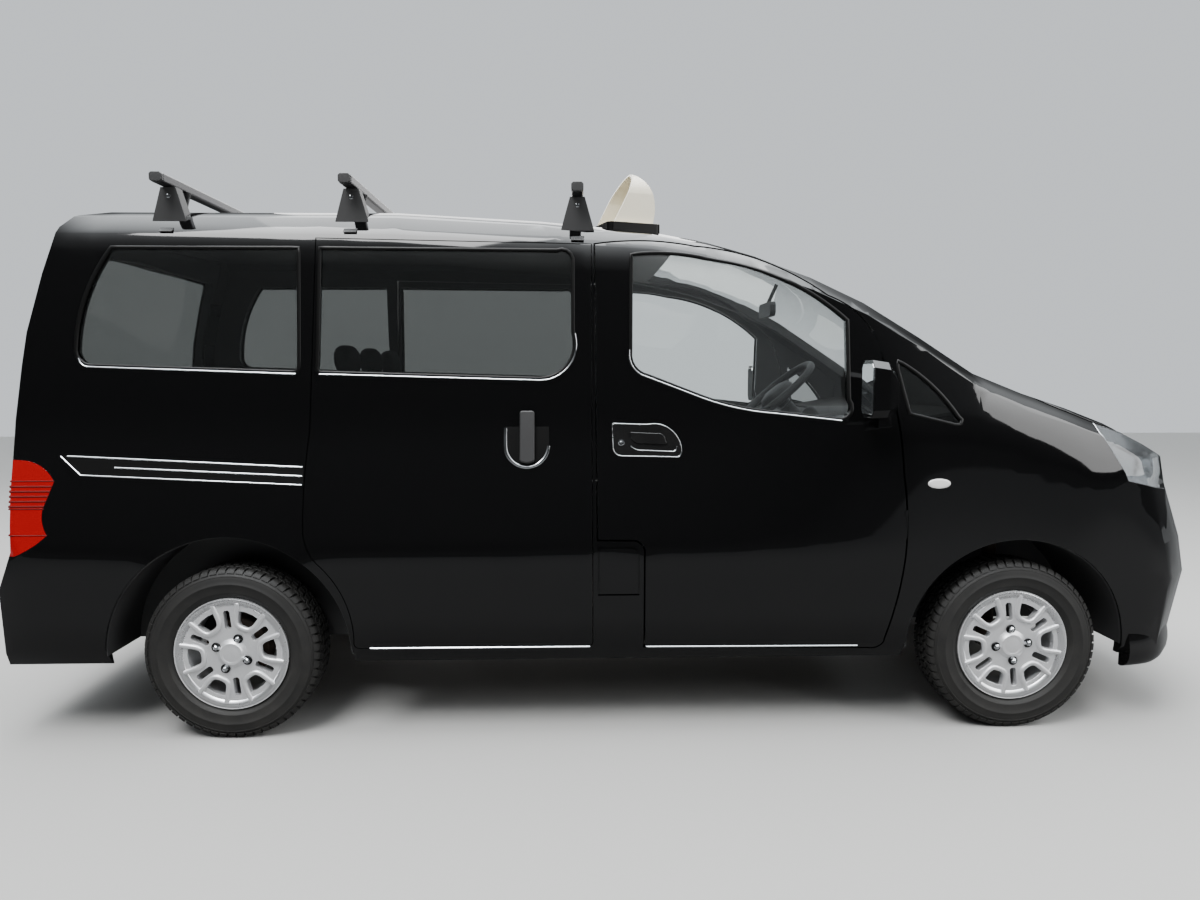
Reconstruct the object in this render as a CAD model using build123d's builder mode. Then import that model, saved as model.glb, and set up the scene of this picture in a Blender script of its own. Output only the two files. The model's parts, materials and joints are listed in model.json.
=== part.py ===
from build123d import *
import os

os.makedirs("parts", exist_ok=True)

# Compact camper van, millimetres. +X is the front, +Y the left side, +Z up, ground at Z = 0.

# ---- driving dimensions ----
FRONT_AXLE_X = 1362.0
REAR_AXLE_X = -1363.0
SKIN = 42.0                 # depth of a door or side wall, skin to trim
SHUT_GAP = 6.0              # clearance round every moving panel
TIGHT_GAP = 3.0             # clearance round fixed panels
GLASS_T = 5.0               # window glass
SEAT_GAP = 0.2              # play where one piece rests on another

TYRE_R = 300.0
TYRE_W = 175.0
RIM_R = 195.0
RIM_SEAT_R = 178.0
RIM_SEAT_HALF = 61.8
TRACK_F = 1470.0
TRACK_R = 1484.0
STUD_CIRCLE_R = 57.15
HUB_BORE_R = 33.0

FRONT_ARCH_R = 392.0
REAR_ARCH_R = 416.0
SILL_Z = 262.0
FLOOR_TOP = 296.0
FLOOR_BOTTOM = 266.0


def path(start, steps):
    """Closed wire of lines and three point arcs; a step of two points is an arc."""
    here = start
    for step in steps:
        if len(step) == 1:
            Line(here, step[0])
        else:
            ThreePointArc(here, step[0], step[1])
        here = step[-1]
    if here != start:
        Line(here, start)


def outline(start, steps, grow=0.0):
    """Flat face inside one outline, its edge moved out or in by a margin."""
    with BuildSketch() as flat:
        with BuildLine():
            path(start, steps)
        make_face()
    if not grow:
        return flat.sketch
    for kind in (Kind.INTERSECTION, Kind.ARC, Kind.TANGENT):
        try:
            moved = offset(flat.sketch, amount=grow, kind=kind)
        except (ValueError, RuntimeError):
            continue
        if moved.area and (moved.area - flat.sketch.area) * grow > 0:
            return moved
    raise ValueError("outline can't take this margin")


def side_block(start, steps, y0, y1, grow=0.0):
    """Side view outline drawn out from y0 to y1, grown or shrunk by a margin."""
    with BuildPart() as block:
        with BuildSketch(Plane.XZ.offset(-y1)):
            add(outline(start, steps, grow))
        extrude(amount=y1 - y0)
    return block.part


def end_block(start, steps, x0, x1, grow=0.0):
    """Front view outline, Y across and Z up, drawn out from x0 to x1."""
    with BuildPart() as block:
        with BuildSketch(Plane.YZ.offset(x0)):
            add(outline(start, steps, grow))
        extrude(amount=x1 - x0)
    return block.part


def save(part, node):
    """Name one piece and write it out."""
    part.label = node
    export_step(part, f"parts/{node}.step")


# ---- body hull: cross sections along the van ----
# x: station, sill/low/wide/belt: half widths and heights of the side,
# edge: where the roof corner starts, top: where it ends, crown: height on the centre line
STATIONS = [
    dict(x=-2300, edge=(700, 1738), top=(592, 1826), crown=1852),
    dict(x=-800, edge=(700, 1736), top=(592, 1826), crown=1852),
    dict(x=-300, edge=(704, 1712), top=(596, 1798), crown=1828),
    dict(x=93, edge=(709, 1686), top=(600, 1762), crown=1798),
    dict(x=276, edge=(714, 1658), top=(606, 1728), crown=1772),
    dict(x=461, edge=(724, 1612), top=(614, 1676), crown=1730),
    dict(x=647, edge=(738, 1546), top=(622, 1604), crown=1668),
    dict(x=835, edge=(756, 1458), top=(632, 1510), crown=1586),
    dict(x=1026, edge=(778, 1340), top=(644, 1386), crown=1476),
    dict(x=1215, edge=(800, 1206), top=(660, 1262), crown=1352),
    dict(x=1390, edge=(806, 1124), top=(654, 1200), crown=1250),
    dict(x=1554, edge=(800, 1074), top=(640, 1142), crown=1188),
    dict(x=1700, edge=(792, 1020), top=(630, 1086), crown=1132),
    dict(x=1852, edge=(784, 944), top=(616, 1012), crown=1060),
    dict(x=1960, edge=(780, 880), top=(606, 948), crown=994),
    dict(x=2300, edge=(774, 660), top=(590, 720), crown=760),
]
SILL_HALF = 786.0
LOW = (836.0, 330.0)
WIDE = (847.0, 640.0)
BELT = (840.0, 1060.0)
CORNER_BULGE = 0.16

# z: height, nose: front centre line, shoulder: front corner, tail: rear centre line
LEVELS = [
    dict(z=100, nose=2150, shoulder=(1960, 560), tail=-2150),
    dict(z=250, nose=2184, shoulder=(2046, 610), tail=-2182),
    dict(z=530, nose=2202, shoulder=(2068, 660), tail=-2196),
    dict(z=660, nose=2170, shoulder=(2040, 668), tail=-2150),
    dict(z=860, nose=2086, shoulder=(1958, 690), tail=-2142),
    dict(z=1100, nose=2010, shoulder=(1900, 706), tail=-2120),
    dict(z=1400, nose=2000, shoulder=(1900, 706), tail=-2074),
    dict(z=1600, nose=2000, shoulder=(1900, 706), tail=-2020),
    dict(z=1760, nose=2000, shoulder=(1900, 706), tail=-1966),
    dict(z=1806, nose=2000, shoulder=(1900, 706), tail=-1920),
    dict(z=1900, nose=2000, shoulder=(1900, 706), tail=-1500),
]
SIDE_Y = 860.0
TAIL_CORNER = 120.0


def cross_section(row, inset):
    """One cross section of the hull, all sides brought in by the inset."""
    edge_y, edge_z = row["edge"]
    top_y, top_z = row["top"]
    edge_y, edge_z = edge_y - inset, edge_z - inset * 0.25
    top_y, top_z = top_y - inset * 0.35, top_z - inset
    belt_z = min(BELT[1], edge_z - 120)
    wide_z = min(WIDE[1], belt_z - 80)
    crown = row["crown"] - inset
    wide_y, belt_y = WIDE[0] - inset, min(BELT[0] - inset, edge_y + 60)
    low_y, sill_y = LOW[0] - inset, SILL_HALF - inset
    sill_z = SILL_Z - (200 if inset else 0)
    mid = ((edge_y + top_y) / 2 + CORNER_BULGE * (top_z - edge_z),
           (edge_z + top_z) / 2 + CORNER_BULGE * (edge_y - top_y))
    with BuildSketch(Plane.YZ.offset(row["x"])) as section:
        with BuildLine():
            path((-sill_y, sill_z), [
                ((sill_y, sill_z),), ((low_y, LOW[1]),), ((wide_y, wide_z),), ((belt_y, belt_z),),
                ((edge_y, edge_z),), (mid,), ((top_y, top_z),),
                ((0, crown), (-top_y, top_z)), ((-mid[0], mid[1]),), ((-edge_y, edge_z),),
                ((-belt_y, belt_z),), ((-wide_y, wide_z),), ((-low_y, LOW[1]),),
            ])
        make_face()
    return section.sketch


def plan_section(row, inset):
    """One plan outline of the hull at a height, nose and tail rounded."""
    nose, tail = row["nose"] - inset, row["tail"] + inset
    corner_x, corner_y = row["shoulder"][0] - inset, row["shoulder"][1] - inset * 0.6
    side = SIDE_Y - inset
    tail_x = tail + 34
    with BuildSketch(Plane.XY.offset(row["z"])) as section:
        with BuildLine():
            path((tail_x, -side + TAIL_CORNER), [
                ((tail_x + TAIL_CORNER * 0.3, -side + TAIL_CORNER * 0.3),), ((tail_x + TAIL_CORNER, -side),),
                ((1480 - inset, -side),),
                ((corner_x - 150, -(corner_y + side) / 2 - 44),), ((corner_x, -corner_y),),
                ((nose, 0), (corner_x, corner_y)),
                ((corner_x - 150, (corner_y + side) / 2 + 44),), ((1480 - inset, side),),
                ((tail_x + TAIL_CORNER, side),),
                ((tail_x + TAIL_CORNER * 0.3, side - TAIL_CORNER * 0.3),), ((tail_x, side - TAIL_CORNER),),
                ((tail, 0), (tail_x, -side + TAIL_CORNER)),
            ])
        make_face()
    return section.sketch


def hull(inset):
    """The whole body as one solid, brought in by the inset."""
    with BuildPart() as along:
        loft([cross_section(row, inset) for row in STATIONS], ruled=True)
    with BuildPart() as upright:
        loft([plan_section(row, inset) for row in LEVELS], ruled=True)
    with BuildPart() as body:
        add(along.part)
        add(upright.part, mode=Mode.INTERSECT)
    return body.part



def plan_block(start, steps, z0, z1, grow=0.0):
    """Plan outline drawn up from z0 to z1, grown or shrunk by a margin."""
    with BuildPart() as block:
        with BuildSketch(Plane.XY.offset(z0)):
            add(outline(start, steps, grow))
        extrude(amount=z1 - z0)
    return block.part


def rod(radius, p0, p1):
    """Round bar between two points."""
    with BuildPart() as bar:
        with BuildSketch(Plane(origin=p0, z_dir=Vector(*p1) - Vector(*p0))):
            Circle(radius)
        extrude(amount=(Vector(*p1) - Vector(*p0)).length)
    return bar.part


def brick(x0, x1, y0, y1, z0, z1, radius=0.0, along=Axis.Z):
    """Rectangular block given by its limits, its edges along one axis rounded on request."""
    with BuildPart() as block:
        with Locations(((x0 + x1) / 2, (y0 + y1) / 2, (z0 + z1) / 2)):
            Box(x1 - x0, y1 - y0, z1 - z0)
        if radius:
            fillet(block.edges().filter_by(along), radius)
    return block.part


def mirrored(part):
    """The same piece on the left side."""
    return mirror(part, about=Plane.XZ)


# ---- outlines of the openings, seen from the side (X, Z) ----
SLIDING_DOOR = ((-120, 1706), [
    ((-120, 345),), ((-128, 322), (-150, 318)), ((-912, 318),), ((-932, 322), (-940, 345)),
    ((-962, 476), (-1047, 609)), ((-1085, 660), (-1104, 720)), ((-1104, 900), (-1091, 1067)),
    ((-1068, 1724),),
])
FRONT_DOOR = ((-114, 1708), [
    ((-108, 688),), ((10, 686),), ((44, 674), (53, 640)), ((53, 310),), ((842, 296),),
    ((880, 302), (896, 336)), ((956, 600), (950, 909)), ((928, 1110), (858, 1392)),
    ((806, 1462), (700, 1530)), ((470, 1658), (240, 1704)), ((60, 1722), (-114, 1708)),
])
FUEL_FLAP = ((-104, 668), [((6, 668),), ((32, 658), (38, 634)), ((38, 500),), ((-104, 500),)])
SLIDING_WINDOW = ((-185, 1655), [
    ((-185, 1400),), ((-196, 1300), (-300, 1240)), ((-1040, 1262),), ((-1062, 1266), (-1064, 1290)),
    ((-1054, 1690),), ((-240, 1684),), ((-200, 1680), (-185, 1655)),
])
QUARTER_WINDOW = ((-1124, 1690), [
    ((-1124, 1284),), ((-1130, 1268), (-1150, 1264)), ((-1834, 1287),), ((-1866, 1306), (-1878, 1354)),
    ((-1832, 1560), (-1757, 1690)),
])
FRONT_WINDOW = ((17, 1668), [
    ((14, 1336),), ((26, 1282), (74, 1251)), ((244, 1185),), ((370, 1146), (511, 1125)),
    ((737, 1100),), ((758, 1110), (762, 1167)), ((762, 1440),), ((560, 1576), (278, 1654)),
    ((150, 1672), (17, 1668)),
])
CORNER_WINDOW = ((932, 1272), [
    ((966, 1120),), ((1122, 1082),), ((1136, 1084), (1130, 1110)), ((1060, 1200), (932, 1300)),
])
WING = ((930, 200), [
    ((930, 1027),), ((1180, 992),), ((1186, 1100), (1214, 1262)),
    ((1214, 1500),), ((1640, 1500),), ((1654, 1048),), ((1735, 884),), ((1700, 840), (1665, 766)),
    ((1590, 620),), ((1590, 200),),
])
FRONT_BUMPER = ((1590, 200), [
    ((1590, 620),), ((1665, 766),), ((1700, 840), (1735, 884)), ((1875, 852),), ((2060, 822),),
    ((2060, 880),), ((2300, 880),), ((2300, 90),), ((1590, 90),),
])
HEADLAMP = ((1654, 1048), [
    ((1735, 884),), ((1875, 852),), ((2060, 822),), ((2300, 822),), ((2300, 1200),), ((1640, 1500),),
])
REAR_BUMPER = ((-2300, 552), [
    ((-2068, 534),), ((-1753, 515),), ((-1700, 488),), ((-1700, 90),), ((-2300, 90),),
])
TAIL_LAMP = ((-2300, 985), [
    ((-2050, 968),), ((-1990, 950), (-1940, 896)), ((-1956, 850), (-1972, 806)),
    ((-1970, 760), (-1952, 719)), ((-2000, 680), (-2062, 649)), ((-2300, 640),),
])

# ---- outlines seen from above (X, Y) and from behind (Y, Z) ----
WINDSCREEN = ((178, -556), [
    ((212, 0), (178, 556)), ((1196, 632),), ((1372, 0), (1196, -632)),
])
BONNET = ((1232, -694), [
    ((1402, 0), (1232, 694)), ((1390, 736), (1560, 748)), ((1640, 744),), ((1900, 640), (2006, 520)),
    ((2062, 0), (2006, -520)), ((1900, -640), (1640, -744)), ((1560, -748),), ((1390, -736), (1232, -694)),
])
ROOF_PANEL = ((-2300, -596), [
    ((-2300, 596),), ((170, 600),), ((204, 0), (170, -600)),
])
TAILGATE = ((-610, 552), [
    ((610, 552),), ((640, 900),), ((640, 1000), (630, 1100)), ((560, 1730),), ((548, 1766), (510, 1778)),
    ((-510, 1778),), ((-548, 1766), (-560, 1730)), ((-630, 1100),), ((-640, 1000), (-640, 900)),
])
TAIL_WINDOW = ((-560, 1180), [
    ((560, 1180),), ((590, 1186), (592, 1220)), ((536, 1660),), ((520, 1690), (490, 1694)),
    ((0, 1704), (-490, 1694)), ((-520, 1690), (-536, 1660)), ((-592, 1220),), ((-590, 1186), (-560, 1180)),
])
GRILLE = ((-420, 660), [
    ((0, 640), (420, 660)), ((452, 770),), ((430, 800), (400, 806)), ((0, 820), (-400, 806)),
    ((-430, 800), (-452, 770)),
])
LOWER_INTAKE = ((-400, 300), [((400, 300),), ((430, 460),), ((0, 476), (-430, 460))])


OUT_Y = 900.0
outer = hull(0.0)
inner = hull(SKIN)
pane_out = hull(4.0)
pane_in = hull(4.0 + GLASS_T)
shell = outer - inner
panes = pane_out - pane_in


def right(outline, grow=0.0, inner_y=-300.0):
    """Block through the right side wall for one side view outline."""
    return side_block(outline[0], outline[1], -OUT_Y, inner_y, grow)


# ---- wheel houses ----
ARCH_Z = TYRE_R - 6
HUB_Z = TYRE_R
ARCHES = [
    dict(x=FRONT_AXLE_X, r=FRONT_ARCH_R, wall=452.0),
    dict(x=REAR_AXLE_X, r=REAR_ARCH_R, wall=600.0),
]
LINER_T = 4.0


def arch_hollow(row, inset=0.0):
    """Wheel house cylinder on the right side."""
    return rod(row["r"] - inset, (row["x"], -row["wall"] - inset, ARCH_Z), (row["x"], -OUT_Y, ARCH_Z))


hollow_f, hollow_r = arch_hollow(ARCHES[0]), arch_hollow(ARCHES[1])
windscreen_cut = plan_block(*WINDSCREEN, 900, 1900)
bonnet_cut = plan_block(*BONNET, 862, 1500)
bonnet_core = plan_block(*BONNET, 862 + SHUT_GAP, 1500, -SHUT_GAP)
roof_cut = plan_block(*ROOF_PANEL, 1700, 1900)
tailgate_cut = end_block(*TAILGATE, -2300, -1800)
tailgate_core = end_block(*TAILGATE, -2300, -1800, -SHUT_GAP)
scuttle_cut = brick(1190, 1430, -640, 640, 1000, 1430)

# ---- doors, right side ----
sliding_right = (shell & right(SLIDING_DOOR, -TIGHT_GAP)) - right(SLIDING_WINDOW)
sliding_pane = panes & right(SLIDING_WINDOW)
door_right = (shell & right(FRONT_DOOR, -SHUT_GAP, -608.0)) - right(FRONT_WINDOW)
door_pane = panes & right(FRONT_WINDOW)
flap_right = (outer - pane_in) & right(FUEL_FLAP, -SHUT_GAP)
FLAP_HINGE_X, FLAP_HINGE_Y, FLAP_HINGE_R = -101.0, 845.0, 1.8
flap_right = flap_right + rod(FLAP_HINGE_R, (FLAP_HINGE_X, -FLAP_HINGE_Y, 520), (FLAP_HINGE_X, -FLAP_HINGE_Y, 656))
for z in (540, 636):
    flap_right = flap_right + brick(FLAP_HINGE_X, FLAP_HINGE_X + 5, -FLAP_HINGE_Y, -FLAP_HINGE_Y + 3.5, z - 12, z + 12)

# ---- fixed side of the body, right side ----
side_right = shell & brick(-2300, 1214, -OUT_Y, 0, 100, 1900)
for cut in (roof_cut, tailgate_cut, windscreen_cut, bonnet_cut, scuttle_cut, right(SLIDING_DOOR),
            right(FRONT_DOOR), right(WING, 0, -600.0), right(REAR_BUMPER, 0, 10.0),
            right(TAIL_LAMP, 0, 10.0), right(QUARTER_WINDOW), right(CORNER_WINDOW),
            hollow_f, hollow_r):
    side_right = side_right - cut
quarter_pane = panes & right(QUARTER_WINDOW)
corner_pane = panes & right(CORNER_WINDOW)
wing_right = (shell & right(WING, 0, -600.0)) - bonnet_cut - windscreen_cut - scuttle_cut
wing_right = wing_right - hollow_f - right(FRONT_DOOR)
lamp_right = (shell & right(HEADLAMP, 0, -430.0)) - bonnet_cut
tail_right = (shell & right(TAIL_LAMP, 0, 0.0)) - tailgate_cut

side_glass = quarter_pane + sliding_pane + corner_pane
side_glass = side_glass + mirrored(side_glass)

# front door hinge: a pin that stands in the front gap, carried by two tabs of the door
HINGE_X, HINGE_Y, HINGE_R = 958.6, 842.5, 2.2
door_right = door_right + rod(HINGE_R, (HINGE_X, -HINGE_Y, 690), (HINGE_X, -HINGE_Y, 790))
for z in (702, 778):
    door_right = door_right + brick(HINGE_X - 8, HINGE_X, -HINGE_Y - 1.5, -HINGE_Y + 2, z - 9, z + 9)

# rubber stops on the body's side of the gaps, that the shut panels rest on
STOP_R = 4.0
SILL_STOPS = [dict(x=220, z=313.0), dict(x=640, z=305.5)]
for row in SILL_STOPS:
    side_right = side_right + rod(STOP_R, (row["x"], -800, 280), (row["x"], -800, row["z"] - SEAT_GAP))
side_right = side_right + rod(STOP_R, (-2085, -660, 1000), (-2085, -640 + SHUT_GAP - SEAT_GAP, 1000))
side_left = mirrored(side_right)
side_right = side_right - (right(FUEL_FLAP) - hull(4.0 + GLASS_T + SEAT_GAP))
wing_right = wing_right + rod(STOP_R, (1600, -754, 1056), (1600, -746 + SHUT_GAP - SEAT_GAP, 1056))

# ---- panels across the van ----
roof = (shell & roof_cut) - windscreen_cut - tailgate_cut
windscreen = panes & windscreen_cut
scuttle = (shell & scuttle_cut) - windscreen_cut - bonnet_cut
bonnet = shell & bonnet_core
tailgate = (shell & tailgate_core) - end_block(*TAIL_WINDOW, -2300, -1800)
tail_pane = panes & end_block(*TAIL_WINDOW, -2300, -1800)
front_zone = side_block(*FRONT_BUMPER, -OUT_Y, OUT_Y) + brick(1900, 2300, -430, 430, 100, 880)
bumper_f = (shell & front_zone) - bonnet_cut - hollow_f - mirrored(hollow_f)
grille_cut = end_block(*GRILLE, 1900, 2300)
intake_cut = end_block(*LOWER_INTAKE, 1900, 2300)
grille = (shell & grille_cut) + (shell & intake_cut)
bumper_f = bumper_f - grille_cut - intake_cut
for z in (690, 724, 758, 340, 376, 412):
    grille = grille - brick(1900, 2300, -396, 396, z, z + 20)
bumper_r = (shell & side_block(*REAR_BUMPER, -OUT_Y, OUT_Y)) - hollow_r - mirrored(hollow_r)

# ---- floor, bulkhead, liners, frame ----
DECK_Z = 524.0
floor = inner & side_block((962, FLOOR_BOTTOM), [
    ((962, FLOOR_TOP),), ((-870, FLOOR_TOP),), ((-870, DECK_Z),), ((-2300, DECK_Z),), ((-2300, DECK_Z - 30),),
    ((-900, DECK_Z - 30),), ((-900, FLOOR_BOTTOM),),
], -OUT_Y, OUT_Y)
floor = floor - hollow_r - mirrored(hollow_r)
bulkhead = inner & side_block((962, FLOOR_BOTTOM), [
    ((970, FLOOR_BOTTOM),), ((970, 1088),), ((1196, 1126),), ((1196, 1400),), ((1188, 1400),), ((1188, 1134),),
    ((962, 1096),),
], -OUT_Y, OUT_Y)
liner_f = ((hollow_f - arch_hollow(ARCHES[0], LINER_T)) & pane_in) & brick(0, 2300, -OUT_Y, 0, 300, 800)
liner_r = ((hollow_r - arch_hollow(ARCHES[1], LINER_T)) & pane_in) & brick(-2300, 0, -OUT_Y, 0, 300, 800)
liner_r = liner_r - rod(70, (REAR_AXLE_X, -590, ARCH_Z), (REAR_AXLE_X, -620, ARCH_Z))
rail = inner & brick(970, 2300, -452, -400, 420, 500)
frame = rail + mirrored(rail) + brick(1900, 1960, -400, 400, 430, 490)
frame = frame + brick(1262, 1462, -452, 452, 240, 300)
for side in (-1, 1):
    frame = frame + brick(1300, 1424, side * 426 - 26, side * 426 + 26, 300, 420)
    frame = frame + rod(16, (FRONT_AXLE_X, side * 440, 268), (FRONT_AXLE_X, side * 562, 240))
    frame = frame + rod(14, (FRONT_AXLE_X, side * 556, 240), (FRONT_AXLE_X, side * 630, 240))
engine = brick(1240, 1840, -300, 380, 300, 860, 30)
KINGPIN_Y = 612.0
HUB_FACE_F = TRACK_F / 2 + 40
HUB_FACE_R = TRACK_R / 2 + 40
tank = brick(-100, 600, -420, 60, 176, FLOOR_BOTTOM, 20)
axle = rod(32, (REAR_AXLE_X, -700, HUB_Z), (REAR_AXLE_X, 700, HUB_Z))
for side in (-1, 1):
    axle = axle + rod(110, (REAR_AXLE_X, side * 690, HUB_Z), (REAR_AXLE_X, side * 760, HUB_Z))
    axle = axle + rod(68, (REAR_AXLE_X, side * 690, HUB_Z),
                      (REAR_AXLE_X, side * (HUB_FACE_R - SEAT_GAP), HUB_Z))
    axle = axle + rod(HUB_BORE_R - SEAT_GAP, (REAR_AXLE_X, side * 690, HUB_Z),
                      (REAR_AXLE_X, side * (HUB_FACE_R + 20), HUB_Z))
    axle = axle + brick(-1960, -960, side * 530 - 30, side * 530 + 30, 322, 340)
    axle = axle + brick(-1960, -1900, side * 530 - 30, side * 530 + 30, 322, DECK_Z - 30)
    axle = axle + brick(-1020, -960, side * 530 - 30, side * 530 + 30, 322, DECK_Z - 30)
exhaust = rod(24, (1500, 120, 212), (-1640, 120, 212)) + brick(-2000, -1600, -60, 260, 180, 320, 50, Axis.X)
exhaust = exhaust + rod(10, (-1800, 100, 300), (-1800, 100, DECK_Z - 30))
exhaust = exhaust + rod(10, (600, 120, 212), (600, 120, FLOOR_BOTTOM)) + rod(24, (1490, 120, 212), (1490, 120, 300))

# ---- front uprights, wheels and tyres, right side ----
upright = rod(24, (FRONT_AXLE_X, -KINGPIN_Y, 254.5), (FRONT_AXLE_X, -KINGPIN_Y, 681))
upright = upright + rod(40, (FRONT_AXLE_X, -KINGPIN_Y, HUB_Z), (FRONT_AXLE_X, -740, HUB_Z))
upright = upright + rod(68, (FRONT_AXLE_X, -700, HUB_Z), (FRONT_AXLE_X, -HUB_FACE_F + SEAT_GAP, HUB_Z))
upright = upright + rod(HUB_BORE_R - SEAT_GAP, (FRONT_AXLE_X, -700, HUB_Z), (FRONT_AXLE_X, -HUB_FACE_F - 20, HUB_Z))

# wheel profile: radius, distance from the wheel's middle plane (outboard is negative)
FLANGE = 68.0
with BuildSketch() as wide_window:
    with BuildLine():
        path((97, -11), [
            ((97, 11),), ((108, 23),), ((147, 36),), ((152, 14),), ((152, -14),), ((147, -36),), ((108, -23),),
        ])
    make_face()
with BuildSketch() as slot_window:
    with BuildLine():
        path((86, -6), [
            ((86, 6),), ((92, 11),), ((145, 11),), ((151, 6),), ((151, -6),), ((145, -11),), ((92, -11),),
        ])
    make_face()
with BuildPart() as rim:
    with BuildSketch(Plane.XY):
        with BuildLine():
            path((HUB_BORE_R, -40), [
                ((158, -40),), ((158, RIM_SEAT_HALF),), ((RIM_R, FLANGE),), ((RIM_SEAT_R, RIM_SEAT_HALF),),
                ((RIM_SEAT_R, -RIM_SEAT_HALF),), ((RIM_R, -FLANGE),), ((RIM_R, -74),), ((172, -66),),
                ((40, -66),), ((36, -76),), ((0, -76),), ((0, -62),), ((HUB_BORE_R, -62),),
            ])
        make_face()
    revolve(axis=Axis.Y)
    with BuildSketch(Plane.XZ.offset(20)):
        with PolarLocations(0, 6):
            add(wide_window.sketch)
        with PolarLocations(0, 6, start_angle=30):
            add(slot_window.sketch)
    extrude(amount=80, mode=Mode.SUBTRACT)
with BuildPart() as stud_row:
    with BuildSketch(Plane.XZ.offset(60)):
        with PolarLocations(STUD_CIRCLE_R, 4):
            RegularPolygon(10.5, 6)
    extrude(amount=16)
wheel = rim.part + stud_row.part

# the tyre's bead follows the flange, its tread is flat across
with BuildPart() as tyre:
    with BuildSketch(Plane.XY):
        with BuildLine():
            path((RIM_SEAT_R + SEAT_GAP, RIM_SEAT_HALF - SEAT_GAP), [
                ((262, TYRE_W / 2),), ((TYRE_R, 64),), ((TYRE_R, -64),), ((262, -TYRE_W / 2),), ((RIM_SEAT_R + SEAT_GAP, -RIM_SEAT_HALF + SEAT_GAP),),
            ])
        make_face()
    revolve(axis=Axis.Y)

WHEELS = [
    dict(node="front_right", x=FRONT_AXLE_X, y=-TRACK_F / 2, turn=-6.0),
    dict(node="front_left", x=FRONT_AXLE_X, y=TRACK_F / 2, turn=-6.0),
    dict(node="rear_right", x=REAR_AXLE_X, y=-TRACK_R / 2, turn=-66.0),
    dict(node="rear_left", x=REAR_AXLE_X, y=TRACK_R / 2, turn=-66.0),
]

# ---- roof ----
BARS = [dict(x=-1573, z=1930), dict(x=-950, z=1928), dict(x=-169, z=1904)]
BAR_HALF = 745.0
BAR_W, BAR_H = 42.0, 32.0
BAR_EDGE = 7.0
FOOT_Y = 640.0
bars, feet = None, None
for row in BARS:
    bar = brick(row["x"] - BAR_W / 2, row["x"] + BAR_W / 2, -BAR_HALF, BAR_HALF, row["z"] - BAR_H, row["z"],
                BAR_EDGE, Axis.Y)
    bars = bar if bars is None else bars + bar
    for side in (-1, 1):
        with BuildPart() as foot:
            with BuildSketch(Plane.XY.offset(row["z"] - 150)):
                with Locations((row["x"], side * FOOT_Y)):
                    Rectangle(118, 62)
            with BuildSketch(Plane.XY.offset(row["z"] - BAR_H)):
                with Locations((row["x"], side * (FOOT_Y + 6))):
                    Rectangle(52, 50)
            loft()
        pad = foot.part - outer
        feet = pad if feet is None else feet + pad

HOOD_T = 6.0
HOOD_SIDE = ((92, 0), [((98, 96), (40, 196)), ((-62, 0),)])
HOOD_INSIDE = ((92 - HOOD_T, -1), [((98 - HOOD_T, 96), (40 - HOOD_T, 196 - HOOD_T)), ((-120, 190),), ((-120, -1),)])


def hood_form(side_view, margin):
    """Scoop with an arched cross section, its sides brought in by a margin."""
    with BuildPart() as form:
        add(side_block(*side_view, -95 + margin, 95 - margin))
        with BuildSketch(Plane.YZ.offset(-150)):
            with BuildLine():
                path((-95 + margin, -2), [
                    ((-95 + margin, 70),), ((-64 + margin, 166 - margin), (0, 196 - margin)),
                    ((64 - margin, 166 - margin), (95 - margin, 70)), ((95 - margin, -2),),
                ])
            make_face()
        extrude(amount=300, mode=Mode.INTERSECT)
    return form.part


cowl = Pos(-10, -440, 1806) * Rot(0, 0, 20) * (hood_form(HOOD_SIDE, 0.0) - hood_form(HOOD_INSIDE, HOOD_T))
with BuildPart() as gasket:
    with BuildSketch(Plane.XY):
        RectangleRounded(210, 220, 20)
    extrude(amount=-60)
cowl_base = (Pos(5, -440, 1806) * Rot(0, 0, 20) * gasket.part) - outer

# ---- cabin ----
dash = (inner & side_block((962, 640), [
    ((800, 640),), ((720, 760),), ((700, 960),), ((740, 1060), (830, 1100)), ((962, 1088),),
], -OUT_Y, OUT_Y)) & brick(600, 1000, -770, 770, 500, 1200)
WHEEL_AT = (609.0, -370.0, 1180.0)
COLUMN = (0.656, 0.0, -0.755)
column = rod(28, (WHEEL_AT[0] + COLUMN[0] * 60, WHEEL_AT[1], WHEEL_AT[2] + COLUMN[2] * 60),
             (WHEEL_AT[0] + COLUMN[0] * 330, WHEEL_AT[1], WHEEL_AT[2] + COLUMN[2] * 330))
dash = dash + column
with BuildPart() as hand_wheel:
    with BuildSketch(Plane.XZ):
        with Locations((172, 0)):
            RegularPolygon(15, 6)
    revolve(axis=Axis.Z)
    Cylinder(46, 30)
    with PolarLocations(100, 3, start_angle=-90):
        Box(150, 34, 12)
    with Locations((0, 0, -30)):
        Cylinder(18, 60)
steering_wheel = Location(Plane(origin=WHEEL_AT, x_dir=(0.755, 0, 0.656), z_dir=(-0.656, 0, 0.755))) * hand_wheel.part

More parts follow.
